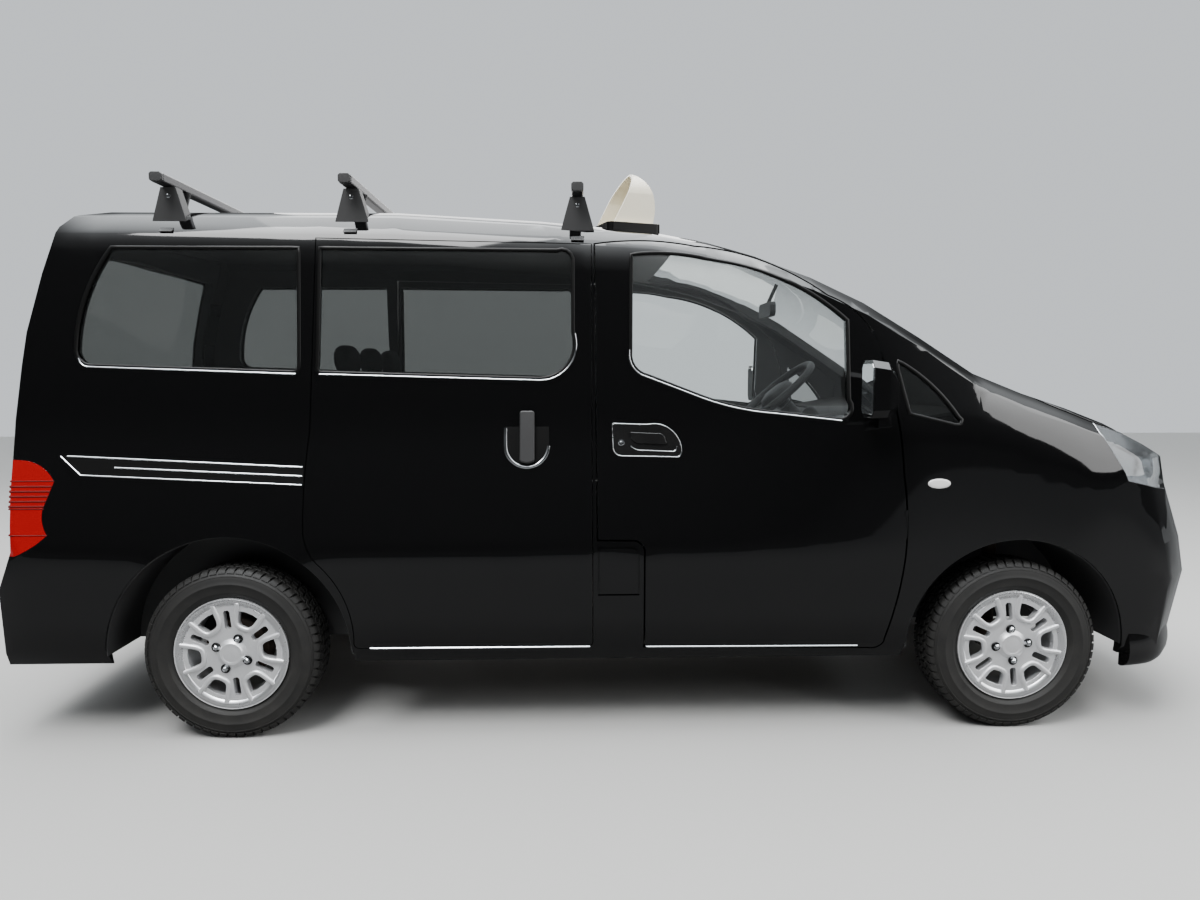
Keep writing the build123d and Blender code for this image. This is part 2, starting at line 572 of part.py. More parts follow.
SEAT_HALF = 235.0
SEAT_Z = FLOOR_TOP + SEAT_GAP
SEAT_SIDE = ((-30, SEAT_Z), [
    ((420, SEAT_Z),), ((470, 620),), ((540, 640),), ((556, 700), (520, 750)), ((80, 730),), ((-20, 1200),),
    ((-50, 1236), (-90, 1200)), ((-40, 640),),
])
SEAT_REST = ((-92, 1216), [((-40, 1240),), ((-40, 1260),), ((10, 1270),), ((4, 1380),), ((-30, 1402), (-62, 1380)), ((-70, 1250),)])
front_seats = None
for y in (-370, 370):
    seat = side_block(*SEAT_SIDE, y - SEAT_HALF, y + SEAT_HALF) + side_block(*SEAT_REST, y - 125, y + 125)
    front_seats = seat if front_seats is None else front_seats + seat
BENCH_SIDE = ((-900, DECK_Z), [
    ((-560, DECK_Z),), ((-540, 700),), ((-500, 720),), ((-480, 800), (-520, 860)), ((-960, 840),),
    ((-1010, 1230),), ((-1060, 1262), (-1120, 1230)), ((-1080, 720),), ((-900, 700),),
])
BENCH_REST = ((-1110, 1226), [((-1020, 1226),), ((-1010, 1360),), ((-1050, 1390), (-1092, 1360))])
rear_bench = side_block(*BENCH_SIDE, -560, 560)
for y in (-380, 0, 380):
    rear_bench = rear_bench + side_block(*BENCH_REST, y - 120, y + 120)
room_mirror = (brick(640, 664, -110, 110, 1500, 1560, 20, Axis.X) + rod(8, (652, 0, 1550), (705, 0, 1670))) & pane_in

# ---- mirrors, right side ----
# mirror head, seen from the front: (Y, Z) outlines at three places along X
MIRROR_RINGS = [
    dict(x=776, y0=-1004, y1=-880, z0=1112, z1=1300, cut=24),
    dict(x=830, y0=-1000, y1=-880, z0=1114, z1=1292, cut=24),
    dict(x=870, y0=-968, y1=-892, z0=1128, z1=1252, cut=26),
]


def mirror_ring(row):
    """Rectangle with cut corners across the mirror head."""
    y0, y1, z0, z1, cut = row["y0"], row["y1"], row["z0"], row["z1"], row["cut"]
    with BuildSketch(Plane.YZ.offset(row["x"])) as ring:
        with BuildLine():
            path((y0 + cut, z0), [
                ((y1 - cut, z0),), ((y1, z0 + cut),), ((y1, z1 - cut),), ((y1 - cut, z1),),
                ((y0 + cut, z1),), ((y0, z1 - cut),), ((y0, z0 + cut),),
            ])
        make_face()
    return ring.sketch


with BuildPart() as mirror_head:
    loft([mirror_ring(row) for row in MIRROR_RINGS], ruled=True)
door_mirror = mirror_head.part + side_block((826, 1076), [((872, 1080),), ((860, 1128),), ((826, 1128),)], -910, -790)
door_mirror = door_mirror - outer

PIECES = dict(
    roof_panel=roof, side_body_right=side_right, side_body_left=side_left, windscreen=windscreen,
    scuttle_panel=scuttle, wing_right=wing_right, wing_left=mirrored(wing_right), bonnet=bonnet,
    front_bumper=bumper_f, grille=grille, headlamps=lamp_right + mirrored(lamp_right),
    rear_bumper=bumper_r, tail_lamps=tail_right + mirrored(tail_right), tailgate=tailgate,
    tailgate_glass=tail_pane, sliding_door_right=sliding_right, sliding_door_left=mirrored(sliding_right),
    side_glass=side_glass, fuel_flap=flap_right,
    front_door_right=door_right, front_door_left=mirrored(door_right),
    door_glass_right=door_pane, door_glass_left=mirrored(door_pane),
    door_mirror_right=door_mirror, door_mirror_left=mirrored(door_mirror),
    floor_pan=floor, bulkhead=bulkhead,
    wheel_arch_liners=liner_f + mirrored(liner_f) + liner_r + mirrored(liner_r),
    front_frame=frame, engine_block=engine, fuel_tank=tank, rear_axle=axle, exhaust=exhaust,
    upright_right=upright, upright_left=mirrored(upright),
    roof_bars=bars, roof_bar_feet=feet, vent_cowl=cowl + cowl_base,
    dashboard=dash, steering_wheel=steering_wheel, front_seats=front_seats, rear_bench=rear_bench,
    room_mirror=room_mirror,
)
for row in WHEELS:
    side = 1 if row["y"] > 0 else 0
    spun = Rot(0, row["turn"], 0) * wheel
    PIECES["wheel_" + row["node"]] = Pos(row["x"], row["y"], HUB_Z) * (mirrored(spun) if side else spun)
    PIECES["tyre_" + row["node"]] = Pos(row["x"], row["y"], HUB_Z) * (mirrored(tyre.part) if side else tyre.part)

for node, part in PIECES.items():
    save(part, node)
    print(node, len(part.solids()), round(part.volume / 1e6, 2))
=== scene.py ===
"""Looks of a compact black van with roof bars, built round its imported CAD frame."""

from __future__ import annotations

import cmath
import json
import logging
import math
from collections.abc import Iterator, Sequence
from contextlib import contextmanager
from dataclasses import dataclass, field
from enum import Enum

import bmesh
import bpy
from mathutils import Matrix, Vector
from mathutils.bvhtree import BVHTree
from mathutils.kdtree import KDTree

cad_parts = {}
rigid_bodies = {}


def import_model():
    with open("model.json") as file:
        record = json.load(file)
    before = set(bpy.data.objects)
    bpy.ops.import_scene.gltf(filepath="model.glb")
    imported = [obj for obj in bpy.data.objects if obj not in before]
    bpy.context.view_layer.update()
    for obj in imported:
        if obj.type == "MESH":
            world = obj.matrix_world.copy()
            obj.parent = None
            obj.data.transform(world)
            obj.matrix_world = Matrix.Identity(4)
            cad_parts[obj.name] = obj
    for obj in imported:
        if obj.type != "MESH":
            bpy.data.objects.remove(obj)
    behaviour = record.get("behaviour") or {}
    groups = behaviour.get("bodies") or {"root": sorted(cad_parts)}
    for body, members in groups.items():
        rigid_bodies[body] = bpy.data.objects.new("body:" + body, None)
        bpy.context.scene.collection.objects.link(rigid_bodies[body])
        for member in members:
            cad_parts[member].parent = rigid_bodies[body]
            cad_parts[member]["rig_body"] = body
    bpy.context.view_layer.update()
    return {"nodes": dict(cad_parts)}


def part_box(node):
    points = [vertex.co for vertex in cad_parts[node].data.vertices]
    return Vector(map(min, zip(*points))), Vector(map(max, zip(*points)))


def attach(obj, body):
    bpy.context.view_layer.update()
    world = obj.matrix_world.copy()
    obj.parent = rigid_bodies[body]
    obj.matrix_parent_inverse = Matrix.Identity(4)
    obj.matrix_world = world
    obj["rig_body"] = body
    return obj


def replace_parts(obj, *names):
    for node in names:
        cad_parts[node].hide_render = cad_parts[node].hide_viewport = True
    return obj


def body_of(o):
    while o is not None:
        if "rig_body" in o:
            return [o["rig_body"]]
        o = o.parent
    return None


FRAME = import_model()
LOG = logging.getLogger("van")
WELD = 2.0e-5
MM = 0.001
FAR = 4.0
ORIGIN = (0.0, 0.0, 0.0)
CORE_X = (-1.95, 1.75)
CORE_Z = (0.45, 1.0)
Point = tuple[float, float, float]
Point2 = tuple[float, float]
Outline = tuple[Point2, list[tuple[Point2, ...]]]


class Side(Enum):
    """The two sides of the van, by the sign of Y."""

    RIGHT = -1
    LEFT = 1

    @property
    def word(self) -> str:
        """The side's name as CAD nodes spell it."""
        return self.name.lower()

    @property
    def sign(self) -> float:
        """The sign of Y on this side."""
        return float(self.value)


class Pattern(Enum):
    """Variation that a finish draws from a shared node group."""

    NONE = "none"
    DUST = "dust"
    GRAIN = "grain"
    WEAVE = "weave"


# Shared shader node groups


def new_group(
    name: str,
    inputs: dict[str, tuple[str, object]],
    outputs: dict[str, str],
) -> bpy.types.NodeTree:
    """Make an empty shader group with named sockets.

    Args:
        name: Name of the group.
        inputs: Socket name to (socket type, default value).
        outputs: Socket name to socket type.

    Returns:
        The group, with its input and output nodes in place.
    """
    tree = bpy.data.node_groups.new(name, "ShaderNodeTree")
    for label, (kind, default) in inputs.items():
        socket = tree.interface.new_socket(label, in_out="INPUT", socket_type=kind)
        if default is not None:
            socket.default_value = default
    for label, kind in outputs.items():
        tree.interface.new_socket(label, in_out="OUTPUT", socket_type=kind)
    tree.nodes.new("NodeGroupInput")
    tree.nodes.new("NodeGroupOutput")
    return tree


class NodeKit:
    """Short ways to add and join nodes in one tree."""

    def __init__(self, tree: bpy.types.NodeTree) -> None:
        """Keep the tree that nodes go into."""
        self.tree = tree

    def add(self, kind: str, **settings: object) -> bpy.types.Node:
        """Add a node.

        Args:
            kind: Blender's name of the node type.
            **settings: Properties to set on it.

        Returns:
            The new node.
        """
        node = self.tree.nodes.new(kind)
        for key, value in settings.items():
            setattr(node, key, value)
        return node

    def link(self, start: bpy.types.NodeSocket, end: bpy.types.NodeSocket) -> None:
        """Join two sockets."""
        self.tree.links.new(start, end)

    def maths(self, operation: str, *values: object, clamp: bool = False) -> bpy.types.NodeSocket:
        """Add a maths node.

        Args:
            operation: Name of the operation.
            *values: Socket or number for each input in turn.
            clamp: Whether the result stays between 0 and 1.

        Returns:
            The result socket.
        """
        node = self.add("ShaderNodeMath", operation=operation, use_clamp=clamp)
        for place, value in enumerate(values):
            if isinstance(value, bpy.types.NodeSocket):
                self.link(value, node.inputs[place])
            else:
                node.inputs[place].default_value = value
        return node.outputs[0]

    def noise(self, vector: bpy.types.NodeSocket, scale: object, detail: float) -> bpy.types.NodeSocket:
        """Add a noise texture.

        Args:
            vector: Socket with the coordinates.
            scale: Socket or number for the scale.
            detail: Number of octaves.

        Returns:
            The factor socket.
        """
        node = self.add("ShaderNodeTexNoise")
        self.link(vector, node.inputs["Vector"])
        if isinstance(scale, bpy.types.NodeSocket):
            self.link(scale, node.inputs["Scale"])
        else:
            node.inputs["Scale"].default_value = scale
        node.inputs["Detail"].default_value = detail
        return node.outputs["Fac"]


def dust_group() -> bpy.types.NodeTree:
    """Road dust that thins with height and lies in soft patches.

    Returns:
        A group that gives the dust's mask.
    """
    tree = new_group(
        "road_dust",
        {
            "Vector": ("NodeSocketVector", None),
            "Top": ("NodeSocketFloat", 0.7),
            "Amount": ("NodeSocketFloat", 0.3),
            "Scale": ("NodeSocketFloat", 6.0),
        },
        {"Mask": "NodeSocketFloat"},
    )
    kit = NodeKit(tree)
    source, sink = tree.nodes[0], tree.nodes[1]
    split = kit.add("ShaderNodeSeparateXYZ")
    kit.link(source.outputs["Vector"], split.inputs[0])
    share = kit.maths("DIVIDE", split.outputs["Z"], source.outputs["Top"])
    low = kit.maths("SUBTRACT", 1.0, share, clamp=True)
    patch = kit.noise(source.outputs["Vector"], source.outputs["Scale"], 4.0)
    fine = kit.noise(source.outputs["Vector"], 90.0, 2.0)
    mixed = kit.maths("MULTIPLY", patch, kit.maths("ADD", fine, 0.35))
    mask = kit.maths("MULTIPLY", kit.maths("ADD", low, 0.08), mixed)
    kit.link(kit.maths("MULTIPLY", mask, source.outputs["Amount"], clamp=True), sink.inputs["Mask"])
    return tree


def grain_group() -> bpy.types.NodeTree:
    """Moulded grain: fine cells for relief and a slow change of tone.

    Returns:
        A group that gives the grain's height and tone.
    """
    tree = new_group(
        "moulded_grain",
        {"Vector": ("NodeSocketVector", None), "Scale": ("NodeSocketFloat", 400.0)},
        {"Height": "NodeSocketFloat", "Tone": "NodeSocketFloat"},
    )
    kit = NodeKit(tree)
    source, sink = tree.nodes[0], tree.nodes[1]
    kit.link(kit.noise(source.outputs["Vector"], source.outputs["Scale"], 2.0), sink.inputs["Height"])
    kit.link(kit.noise(source.outputs["Vector"], 7.0, 3.0), sink.inputs["Tone"])
    return tree


def weave_group() -> bpy.types.NodeTree:
    """Cloth weave: two crossing sets of threads.

    Returns:
        A group that gives the threads' height and tone.
    """
    tree = new_group(
        "cloth_weave",
        {"Vector": ("NodeSocketVector", None), "Scale": ("NodeSocketFloat", 900.0)},
        {"Height": "NodeSocketFloat", "Tone": "NodeSocketFloat"},
    )
    kit = NodeKit(tree)
    source, sink = tree.nodes[0], tree.nodes[1]
    split = kit.add("ShaderNodeSeparateXYZ")
    kit.link(source.outputs["Vector"], split.inputs[0])
    across = kit.maths("SINE", kit.maths("MULTIPLY", split.outputs["Y"], source.outputs["Scale"]))
    both = kit.maths("ADD", split.outputs["X"], split.outputs["Z"])
    along = kit.maths("SINE", kit.maths("MULTIPLY", both, source.outputs["Scale"]))
    kit.link(kit.maths("MULTIPLY", across, along), sink.inputs["Height"])
    kit.link(kit.noise(source.outputs["Vector"], 30.0, 3.0), sink.inputs["Tone"])
    return tree


GROUPS = {Pattern.DUST: dust_group(), Pattern.GRAIN: grain_group(), Pattern.WEAVE: weave_group()}


@dataclass(frozen=True)
class Finish:
    """One material: plain values, and the pattern that varies them."""

    name: str
    colour: Point
    rough: float = 0.5
    metal: float = 0.0
    coat: float = 0.0
    clear: float = 0.0
    ior: float = 1.45
    second: Point = (0.30, 0.28, 0.25)
    pattern: Pattern = Pattern.NONE
    scale: float = 400.0
    amount: float = 0.3
    top: float = 0.7
    relief: float = 0.15
    shine: float = 0.5

    def material(self) -> bpy.types.Material:
        """The Blender material of this finish, made on first use under a name of its own."""
        found = bpy.data.materials.get(f"look_{self.name}")
        return found if found is not None else self.build()

    def build(self) -> bpy.types.Material:
        """Make the material.

        Returns:
            A node material with one Principled shader.
        """
        material = bpy.data.materials.new(f"look_{self.name}")
        material.use_nodes = True
        material.diffuse_color = (*self.colour, 1.0)
        kit = NodeKit(material.node_tree)
        shader = material.node_tree.nodes["Principled BSDF"]
        for label, value in (
            ("Base Color", (*self.colour, 1.0)), ("Roughness", self.rough), ("Metallic", self.metal),
            ("Specular IOR Level", self.shine), ("Coat Weight", self.coat), ("Coat Roughness", 0.03),
            ("Transmission Weight", self.clear), ("IOR", self.ior),
        ):
            shader.inputs[label].default_value = value
        if self.pattern is not Pattern.NONE:
            self.vary(kit, shader)
        return material

    def vary(self, kit: NodeKit, shader: bpy.types.Node) -> None:
        """Feed the pattern's masks to the shader.

        Args:
            kit: Node helper of the material's tree.
            shader: The Principled shader.
        """
        place = kit.add("ShaderNodeTexCoord")
        group = kit.add("ShaderNodeGroup")
        group.node_tree = GROUPS[self.pattern]
        kit.link(place.outputs["Object"], group.inputs["Vector"])
        group.inputs["Scale"].default_value = self.scale
        blend = kit.add("ShaderNodeMix", data_type="RGBA")
        blend.inputs["A"].default_value = (*self.colour, 1.0)
        blend.inputs["B"].default_value = (*self.second, 1.0)
        kit.link(blend.outputs["Result"], shader.inputs["Base Color"])
        if self.pattern is Pattern.DUST:
            group.inputs["Top"].default_value = self.top
            group.inputs["Amount"].default_value = self.amount
            mask = group.outputs["Mask"]
            kit.link(mask, blend.inputs["Factor"])
            rough = kit.maths("ADD", kit.maths("MULTIPLY", mask, 0.8), self.rough, clamp=True)
            kit.link(rough, shader.inputs["Roughness"])
            return
        tone = kit.maths("MULTIPLY", group.outputs["Tone"], self.amount, clamp=True)
        kit.link(tone, blend.inputs["Factor"])
        bump = kit.add("ShaderNodeBump")
        bump.inputs["Strength"].default_value = self.relief
        bump.inputs["Distance"].default_value = 0.0006
        kit.link(group.outputs["Height"], bump.inputs["Height"])
        kit.link(bump.outputs["Normal"], shader.inputs["Normal"])


PAINT = Finish("body_paint", (0.0026, 0.0026, 0.0028), 0.05, second=(0.10, 0.092, 0.080), shine=0.6,
               pattern=Pattern.DUST, scale=5.0, amount=0.030, top=0.75)
DARK_GLASS = Finish("dark_glass", (0.36, 0.37, 0.36), 0.0, clear=1.0)
CLEAR_GLASS = Finish("clear_glass", (0.955, 0.98, 0.97), 0.0, clear=1.0)
BLACK_PLASTIC = Finish("black_plastic", (0.018, 0.018, 0.019), 0.5, second=(0.05, 0.05, 0.05),
                       pattern=Pattern.GRAIN, scale=500.0, amount=0.5)
TRIM_PLASTIC = Finish("trim_plastic", (0.045, 0.045, 0.047), 0.6, second=(0.085, 0.083, 0.08),
                      pattern=Pattern.GRAIN, scale=420.0, amount=0.5)
SEAL_RUBBER = Finish("seal_rubber", (0.004, 0.004, 0.004), 0.35, shine=0.22)
UNDER_METAL = Finish("floor_metal", (0.030, 0.030, 0.031), 0.55, second=(0.17, 0.15, 0.13),
                     pattern=Pattern.DUST, scale=9.0, amount=1.2, top=1.2)
ENGINE_METAL = Finish("engine_metal", (0.12, 0.12, 0.12), 0.5, metal=0.7, second=(0.16, 0.13, 0.10),
                      pattern=Pattern.DUST, scale=11.0, amount=1.4, top=1.4)
TANK_PLASTIC = Finish("tank_plastic", (0.016, 0.016, 0.016), 0.5, second=(0.13, 0.12, 0.10),
                      pattern=Pattern.DUST, scale=9.0, amount=1.2, top=1.0)
AXLE_STEEL = Finish("axle_steel", (0.04, 0.038, 0.036), 0.55, metal=0.5, second=(0.16, 0.11, 0.08),
                    pattern=Pattern.DUST, scale=13.0, amount=1.5, top=1.1)
EXHAUST_STEEL = Finish("exhaust_steel", (0.22, 0.20, 0.18), 0.42, metal=1.0, second=(0.14, 0.10, 0.07),
                       pattern=Pattern.DUST, scale=12.0, amount=1.6, top=1.0)
BAR_METAL = Finish("bar_metal", (0.11, 0.11, 0.115), 0.38, metal=1.0)
CREAM = Finish("cowl_plastic", (0.80, 0.75, 0.61), 0.32, coat=0.3, second=(0.62, 0.57, 0.44),
               pattern=Pattern.GRAIN, scale=60.0, amount=0.35, relief=0.03)
SEAT_CLOTH = Finish("seat_cloth", (0.020, 0.020, 0.022), 0.9, second=(0.055, 0.055, 0.06),
                    pattern=Pattern.WEAVE, scale=1500.0, amount=0.8, relief=0.3)
ALLOY = Finish("alloy", (0.70, 0.71, 0.73), 0.32, metal=0.55, coat=0.4, second=(0.36, 0.31, 0.26),
               pattern=Pattern.DUST, scale=14.0, amount=0.30, top=1.0)
TYRE = Finish("tyre_rubber", (0.011, 0.011, 0.011), 0.55, second=(0.075, 0.070, 0.062), shine=0.35,
              pattern=Pattern.DUST, scale=16.0, amount=0.32, top=0.9)
CHROME = Finish("bright_trim", (0.72, 0.74, 0.76), 0.12, metal=1.0)
REFLECTOR = Finish("reflector", (0.86, 0.87, 0.88), 0.10, metal=1.0)
LENS = Finish("lamp_lens", (0.95, 0.97, 0.98), 0.0, clear=1.0)
TAIL_RED = Finish("tail_lens", (0.30, 0.0015, 0.003), 0.08, coat=1.0)
PIANO_BLACK = Finish("gloss_plastic", (0.004, 0.004, 0.004), 0.12, second=(0.03, 0.03, 0.03),
                     pattern=Pattern.GRAIN, scale=300.0, amount=0.3, relief=0.02)
ALLOY_BRIGHT = Finish("alloy_lip", (0.80, 0.81, 0.83), 0.22, metal=0.9, second=(0.45, 0.40, 0.34),
                      pattern=Pattern.DUST, scale=14.0, amount=0.25, top=1.0)
HOUSING = Finish("lamp_housing", (0.42, 0.43, 0.44), 0.26, metal=0.8, second=(0.22, 0.22, 0.22),
                 pattern=Pattern.GRAIN, scale=160.0, amount=0.4, relief=0.1)
LENS_WHITE = Finish("bulb_glass", (0.92, 0.92, 0.90), 0.12, coat=1.0)
TAIL_DARK = Finish("tail_lens_line", (0.10, 0.001, 0.001), 0.45, shine=0.2)
MIRROR = Finish("mirror_glass", (0.85, 0.87, 0.88), 0.02, metal=1.0)
WHITE_LENS = Finish("repeater_lens", (0.80, 0.80, 0.78), 0.15, coat=1.0)


# Mesh helpers


def link(obj: bpy.types.Object) -> bpy.types.Object:
    """Put an object into the scene."""
    bpy.context.scene.collection.objects.link(obj)
    return obj


@contextmanager
def editing(mesh: bpy.types.Mesh) -> Iterator[bmesh.types.BMesh]:
    """Open a mesh for editing and write it back at the end.

    Args:
        mesh: Mesh to edit.

    Yields:
        Its editable form.
    """
    form = bmesh.new()
    form.from_mesh(mesh)
    yield form
    form.to_mesh(mesh)
    form.free()


def mesh_object(name: str, points: list[Point], faces: list[tuple[int, ...]]) -> bpy.types.Object:
    """Make a mesh object at the origin with its faces turned outwards.

    Args:
        name: Name of the object.
        points: Vertex positions in metres, in the row frame.
        faces: Vertex indices of each face.

    Returns:
        The linked object.
    """
    mesh = bpy.data.meshes.new(name)
    mesh.from_pydata([tuple(point) for point in points], [], faces)
    with editing(mesh) as form:
        bmesh.ops.remove_doubles(form, verts=form.verts, dist=WELD)
        bmesh.ops.recalc_face_normals(form, faces=form.faces)
    return link(bpy.data.objects.new(name, mesh))


def bake(obj: bpy.types.Object) -> bpy.types.Object:
    """Apply every modifier of an object to its mesh.

    Args:
        obj: Object whose modifiers are live.

    Returns:
        The same object with a plain mesh.
    """
    bpy.context.view_layer.update()
    done = bpy.data.meshes.new_from_object(obj.evaluated_get(bpy.context.evaluated_depsgraph_get()))
    obj.modifiers.clear()
    old, obj.data = obj.data, done
    bpy.data.meshes.remove(old)
    return obj


def soften(
    obj: bpy.types.Object,
    width: float = 0.0,
    angle: float = 32.0,
    segments: int = 2,
) -> bpy.types.Object:
    """Smooth the shading and round the hard edges.

    Args:
        obj: Object to finish.
        width: Bevel width in metres, none if zero.
        angle: Edges sharper than this many degrees stay hard.
        segments: Steps across each bevel.

    Returns:
        The same object, baked.
    """
    obj.data.polygons.foreach_set("use_smooth", [True] * len(obj.data.polygons))
    if width:
        bevel = obj.modifiers.new("edges", "BEVEL")
        bevel.width = width
        bevel.segments = segments
        bevel.limit_method = "ANGLE"
        bevel.angle_limit = math.radians(angle)
        bevel.use_clamp_overlap = True
        bevel.harden_normals = False
        weight = obj.modifiers.new("weights", "WEIGHTED_NORMAL")
        weight.keep_sharp = True
        weight.weight = 80
        bake(obj)
    obj.data.set_sharp_from_angle(angle=math.radians(angle if not width else max(angle, 50.0)))
    return obj


def copy_node(node: str, flat: float = 0.4) -> bpy.types.Object:
    """Copy a CAD node's mesh, weld it and join its flat faces.

    Args:
        node: Name of the CAD node.
        flat: Faces that meet under this many degrees are joined.

    Returns:
        The linked copy.
    """
    mesh = FRAME["nodes"][node].data.copy()
    mesh.name = f"{node}_skin"
    if "custom_normal" in mesh.attributes:
        mesh.attributes.remove(mesh.attributes["custom_normal"])
    with editing(mesh) as form:
        bmesh.ops.remove_doubles(form, verts=form.verts, dist=WELD)
        limit = math.radians(flat)
        bmesh.ops.dissolve_limit(form, angle_limit=limit, verts=form.verts, edges=form.edges)
    mesh.materials.clear()
    return link(bpy.data.objects.new(f"{node}_skin", mesh))


def dress(obj: bpy.types.Object, finish: Finish, body: str) -> bpy.types.Object:
    """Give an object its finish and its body.

    Args:
        obj: Object to dress.
        finish: Its finish, unless it already has materials.
        body: CAD body that it moves with.

    Returns:
        The same object.
    """
    if not obj.data.materials:
        obj.data.materials.append(finish.material())
    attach(obj, body)
    LOG.info("%s: %d faces on %s", obj.name, len(obj.data.polygons), body)
    return obj


def body_name(node: str) -> str:
    """The CAD body that carries a node."""
    return body_of(FRAME["nodes"][node])[0]


def outward(place: Vector) -> Vector:
    """Direction away from the van's core, a plate on its middle plane, at a place on it."""
    x, z = (min(max(at, low), high) for at, (low, high) in ((place.x, CORE_X), (place.z, CORE_Z)))
    return (place - Vector((x, 0.0, z))).normalized()


# Outlines on the skin


def arc(start: Point2, middle: Point2, end: Point2, step: float) -> list[Point2]:
    """Points along a circular arc through three points.

    Args:
        start: First point, not returned.
        middle: A point on the arc.
        end: Last point.
        step: Greatest distance between points.

    Returns:
        The points after the first, up to the end.
    """
    (ax, ay), (bx, by), (cx, cy) = start, middle, end
    twice = 2.0 * (ax * (by - cy) + bx * (cy - ay) + cx * (ay - by))
    if abs(twice) < 1e-9:
        return [end]
    squares = [x * x + y * y for x, y in (start, middle, end)]
    ox = (squares[0] * (by - cy) + squares[1] * (cy - ay) + squares[2] * (ay - by)) / twice
    oy = (squares[0] * (cx - bx) + squares[1] * (ax - cx) + squares[2] * (bx - ax)) / twice
    radius = math.hypot(ax - ox, ay - oy)
    first = math.atan2(ay - oy, ax - ox)
    turn = (math.atan2(cy - oy, cx - ox) - first) % math.tau
    if (math.atan2(by - oy, bx - ox) - first) % math.tau > turn:
        turn -= math.tau
    count = max(2, math.ceil(abs(turn) * radius / step))
    spots = [first + turn * k / count for k in range(1, count + 1)]
    return [(ox + radius * math.cos(a), oy + radius * math.sin(a)) for a in spots]


def trace(start: Point2, moves: list[tuple[Point2, ...]], step: float = 0.02) -> list[Point2]:
    """Points along lines and arcs, as the panels' outlines are drawn.

    Args:
        start: First point in millimetres.
        moves: One point ends a line; two points are an arc through the first.
        step: Greatest distance between points in metres.

    Returns:
        The points in metres, the first included.
    """
    here = (start[0] * MM, start[1] * MM)
    points = [here]
    for move in moves:
        scaled = [(x * MM, y * MM) for x, y in move]
        end = scaled[-1]
        if len(scaled) == 2:
            points += arc(here, scaled[0], end, step)
        else:
            count = max(1, math.ceil(math.dist(here, end) / step))
            points += [
                (here[0] + (end[0] - here[0]) * k / count, here[1] + (end[1] - here[1]) * k / count)
                for k in range(1, count + 1)
            ]
        here = end
    return points


class Skin:
    """The van's outer surface, found by straight rays."""

    reach: float = 0.005
    step_out: float = 0.002

    def __init__(self, nodes: tuple[str, ...]) -> None:
        """Gather the meshes of some CAD nodes into one search tree.

        Args:
            nodes: Names of the nodes.
        """
        points: list[Vector] = []
        faces: list[tuple[int, ...]] = []
        for node in nodes:
            mesh = FRAME["nodes"][node].data
            base = len(points)
            points += [vertex.co.copy() for vertex in mesh.vertices]
            faces += [tuple(base + index for index in face.vertices) for face in mesh.polygons]
        self.tree = BVHTree.FromPolygons(points, faces)

    def cast(self, place: Point, axis: int, sign: float) -> tuple[Vector, Vector] | None:
        """Outermost point of the skin over a place.

        Args:
            place: Position; its value along the axis isn't used.
            axis: 0, 1 or 2, the way the ray runs.
            sign: Side that the ray comes from.

        Returns:
            The point and its outward normal, or None where nothing is hit.
        """
        best = None
        for first, second in ((0, 0), (1, 0), (-1, 0), (0, 1), (0, -1)):
            start = Vector(place)
            others = [k for k in range(3) if k != axis]
            start[others[0]] += first * self.reach
            start[others[1]] += second * self.reach
            start[axis] = sign * FAR
            way = Vector()
            way[axis] = -sign
            hit, normal, _, _ = self.tree.ray_cast(start, way, 2 * FAR)
            if hit is not None and (best is None or hit[axis] * sign > best[0][axis] * sign + self.step_out):
                best = (hit, normal if normal[axis] * sign > 0 else -normal)
        if best is None:
            return None
        spot = Vector(place)
        spot[axis] = best[0][axis]
        return spot, best[1]

    def along(self, line: list[Point2], side: Side) -> list[tuple[Vector, Vector]]:
        """Lay a side-view line of (x, z) points on one side of the van."""
        found = [self.cast((x, 0.0, z), 1, side.sign) for x, z in line]
        return [spot for spot in found if spot is not None]


def shift(line: list[Point2], distance: float, closed: bool) -> list[Point2]:
    """Move a line sideways in its plane.

    Args:
        line: The points.
        distance: How far to the left of its run.
        closed: Whether the last point joins the first.

    Returns:
        The moved points.
    """
    count = len(line)
    moved = []
    for k in range(count):
        before = line[(k - 1) % count] if closed or k else line[k]
        after = line[(k + 1) % count] if closed or k < count - 1 else line[k]
        dx, dy = after[0] - before[0], after[1] - before[1]
        size = math.hypot(dx, dy) or 1.0
        moved.append((line[k][0] - dy / size * distance, line[k][1] + dx / size * distance))
    return moved


def strip(
    name: str,
    path: list[tuple[Vector, Vector]],
    section: Sequence[Point2],
    closed: bool = False,
) -> bpy.types.Object:
    """Sweep a section along a path that lies on a surface.

    Args:
        name: Name of the piece.
        path: Points with the surface's normals.
        section: Closed outline of (across, out) distances in metres.
        closed: Whether the path is a ring.

    Returns:
        The linked, closed mesh.
    """
    count, sides = len(path), len(section)
    points: list[Point] = []
    for k, (place, normal) in enumerate(path):
        before = path[(k - 1) % count][0] if closed or k else place
        after = path[(k + 1) % count][0] if closed or k < count - 1 else place
        across = normal.cross(after - before).normalized()
        points += [tuple(place + across * u + normal * v) for u, v in section]
    faces: list[tuple[int, ...]] = []
    for k in range(count if closed else count - 1):
        one, two = k * sides, (k + 1) % count * sides
        faces += [(one + s, one + (s + 1) % sides, two + (s + 1) % sides, two + s) for s in range(sides)]
    if not closed:
        faces += [tuple(range(sides)), tuple(reversed(range((count - 1) * sides, count * sides)))]
    return mesh_object(name, points, faces)


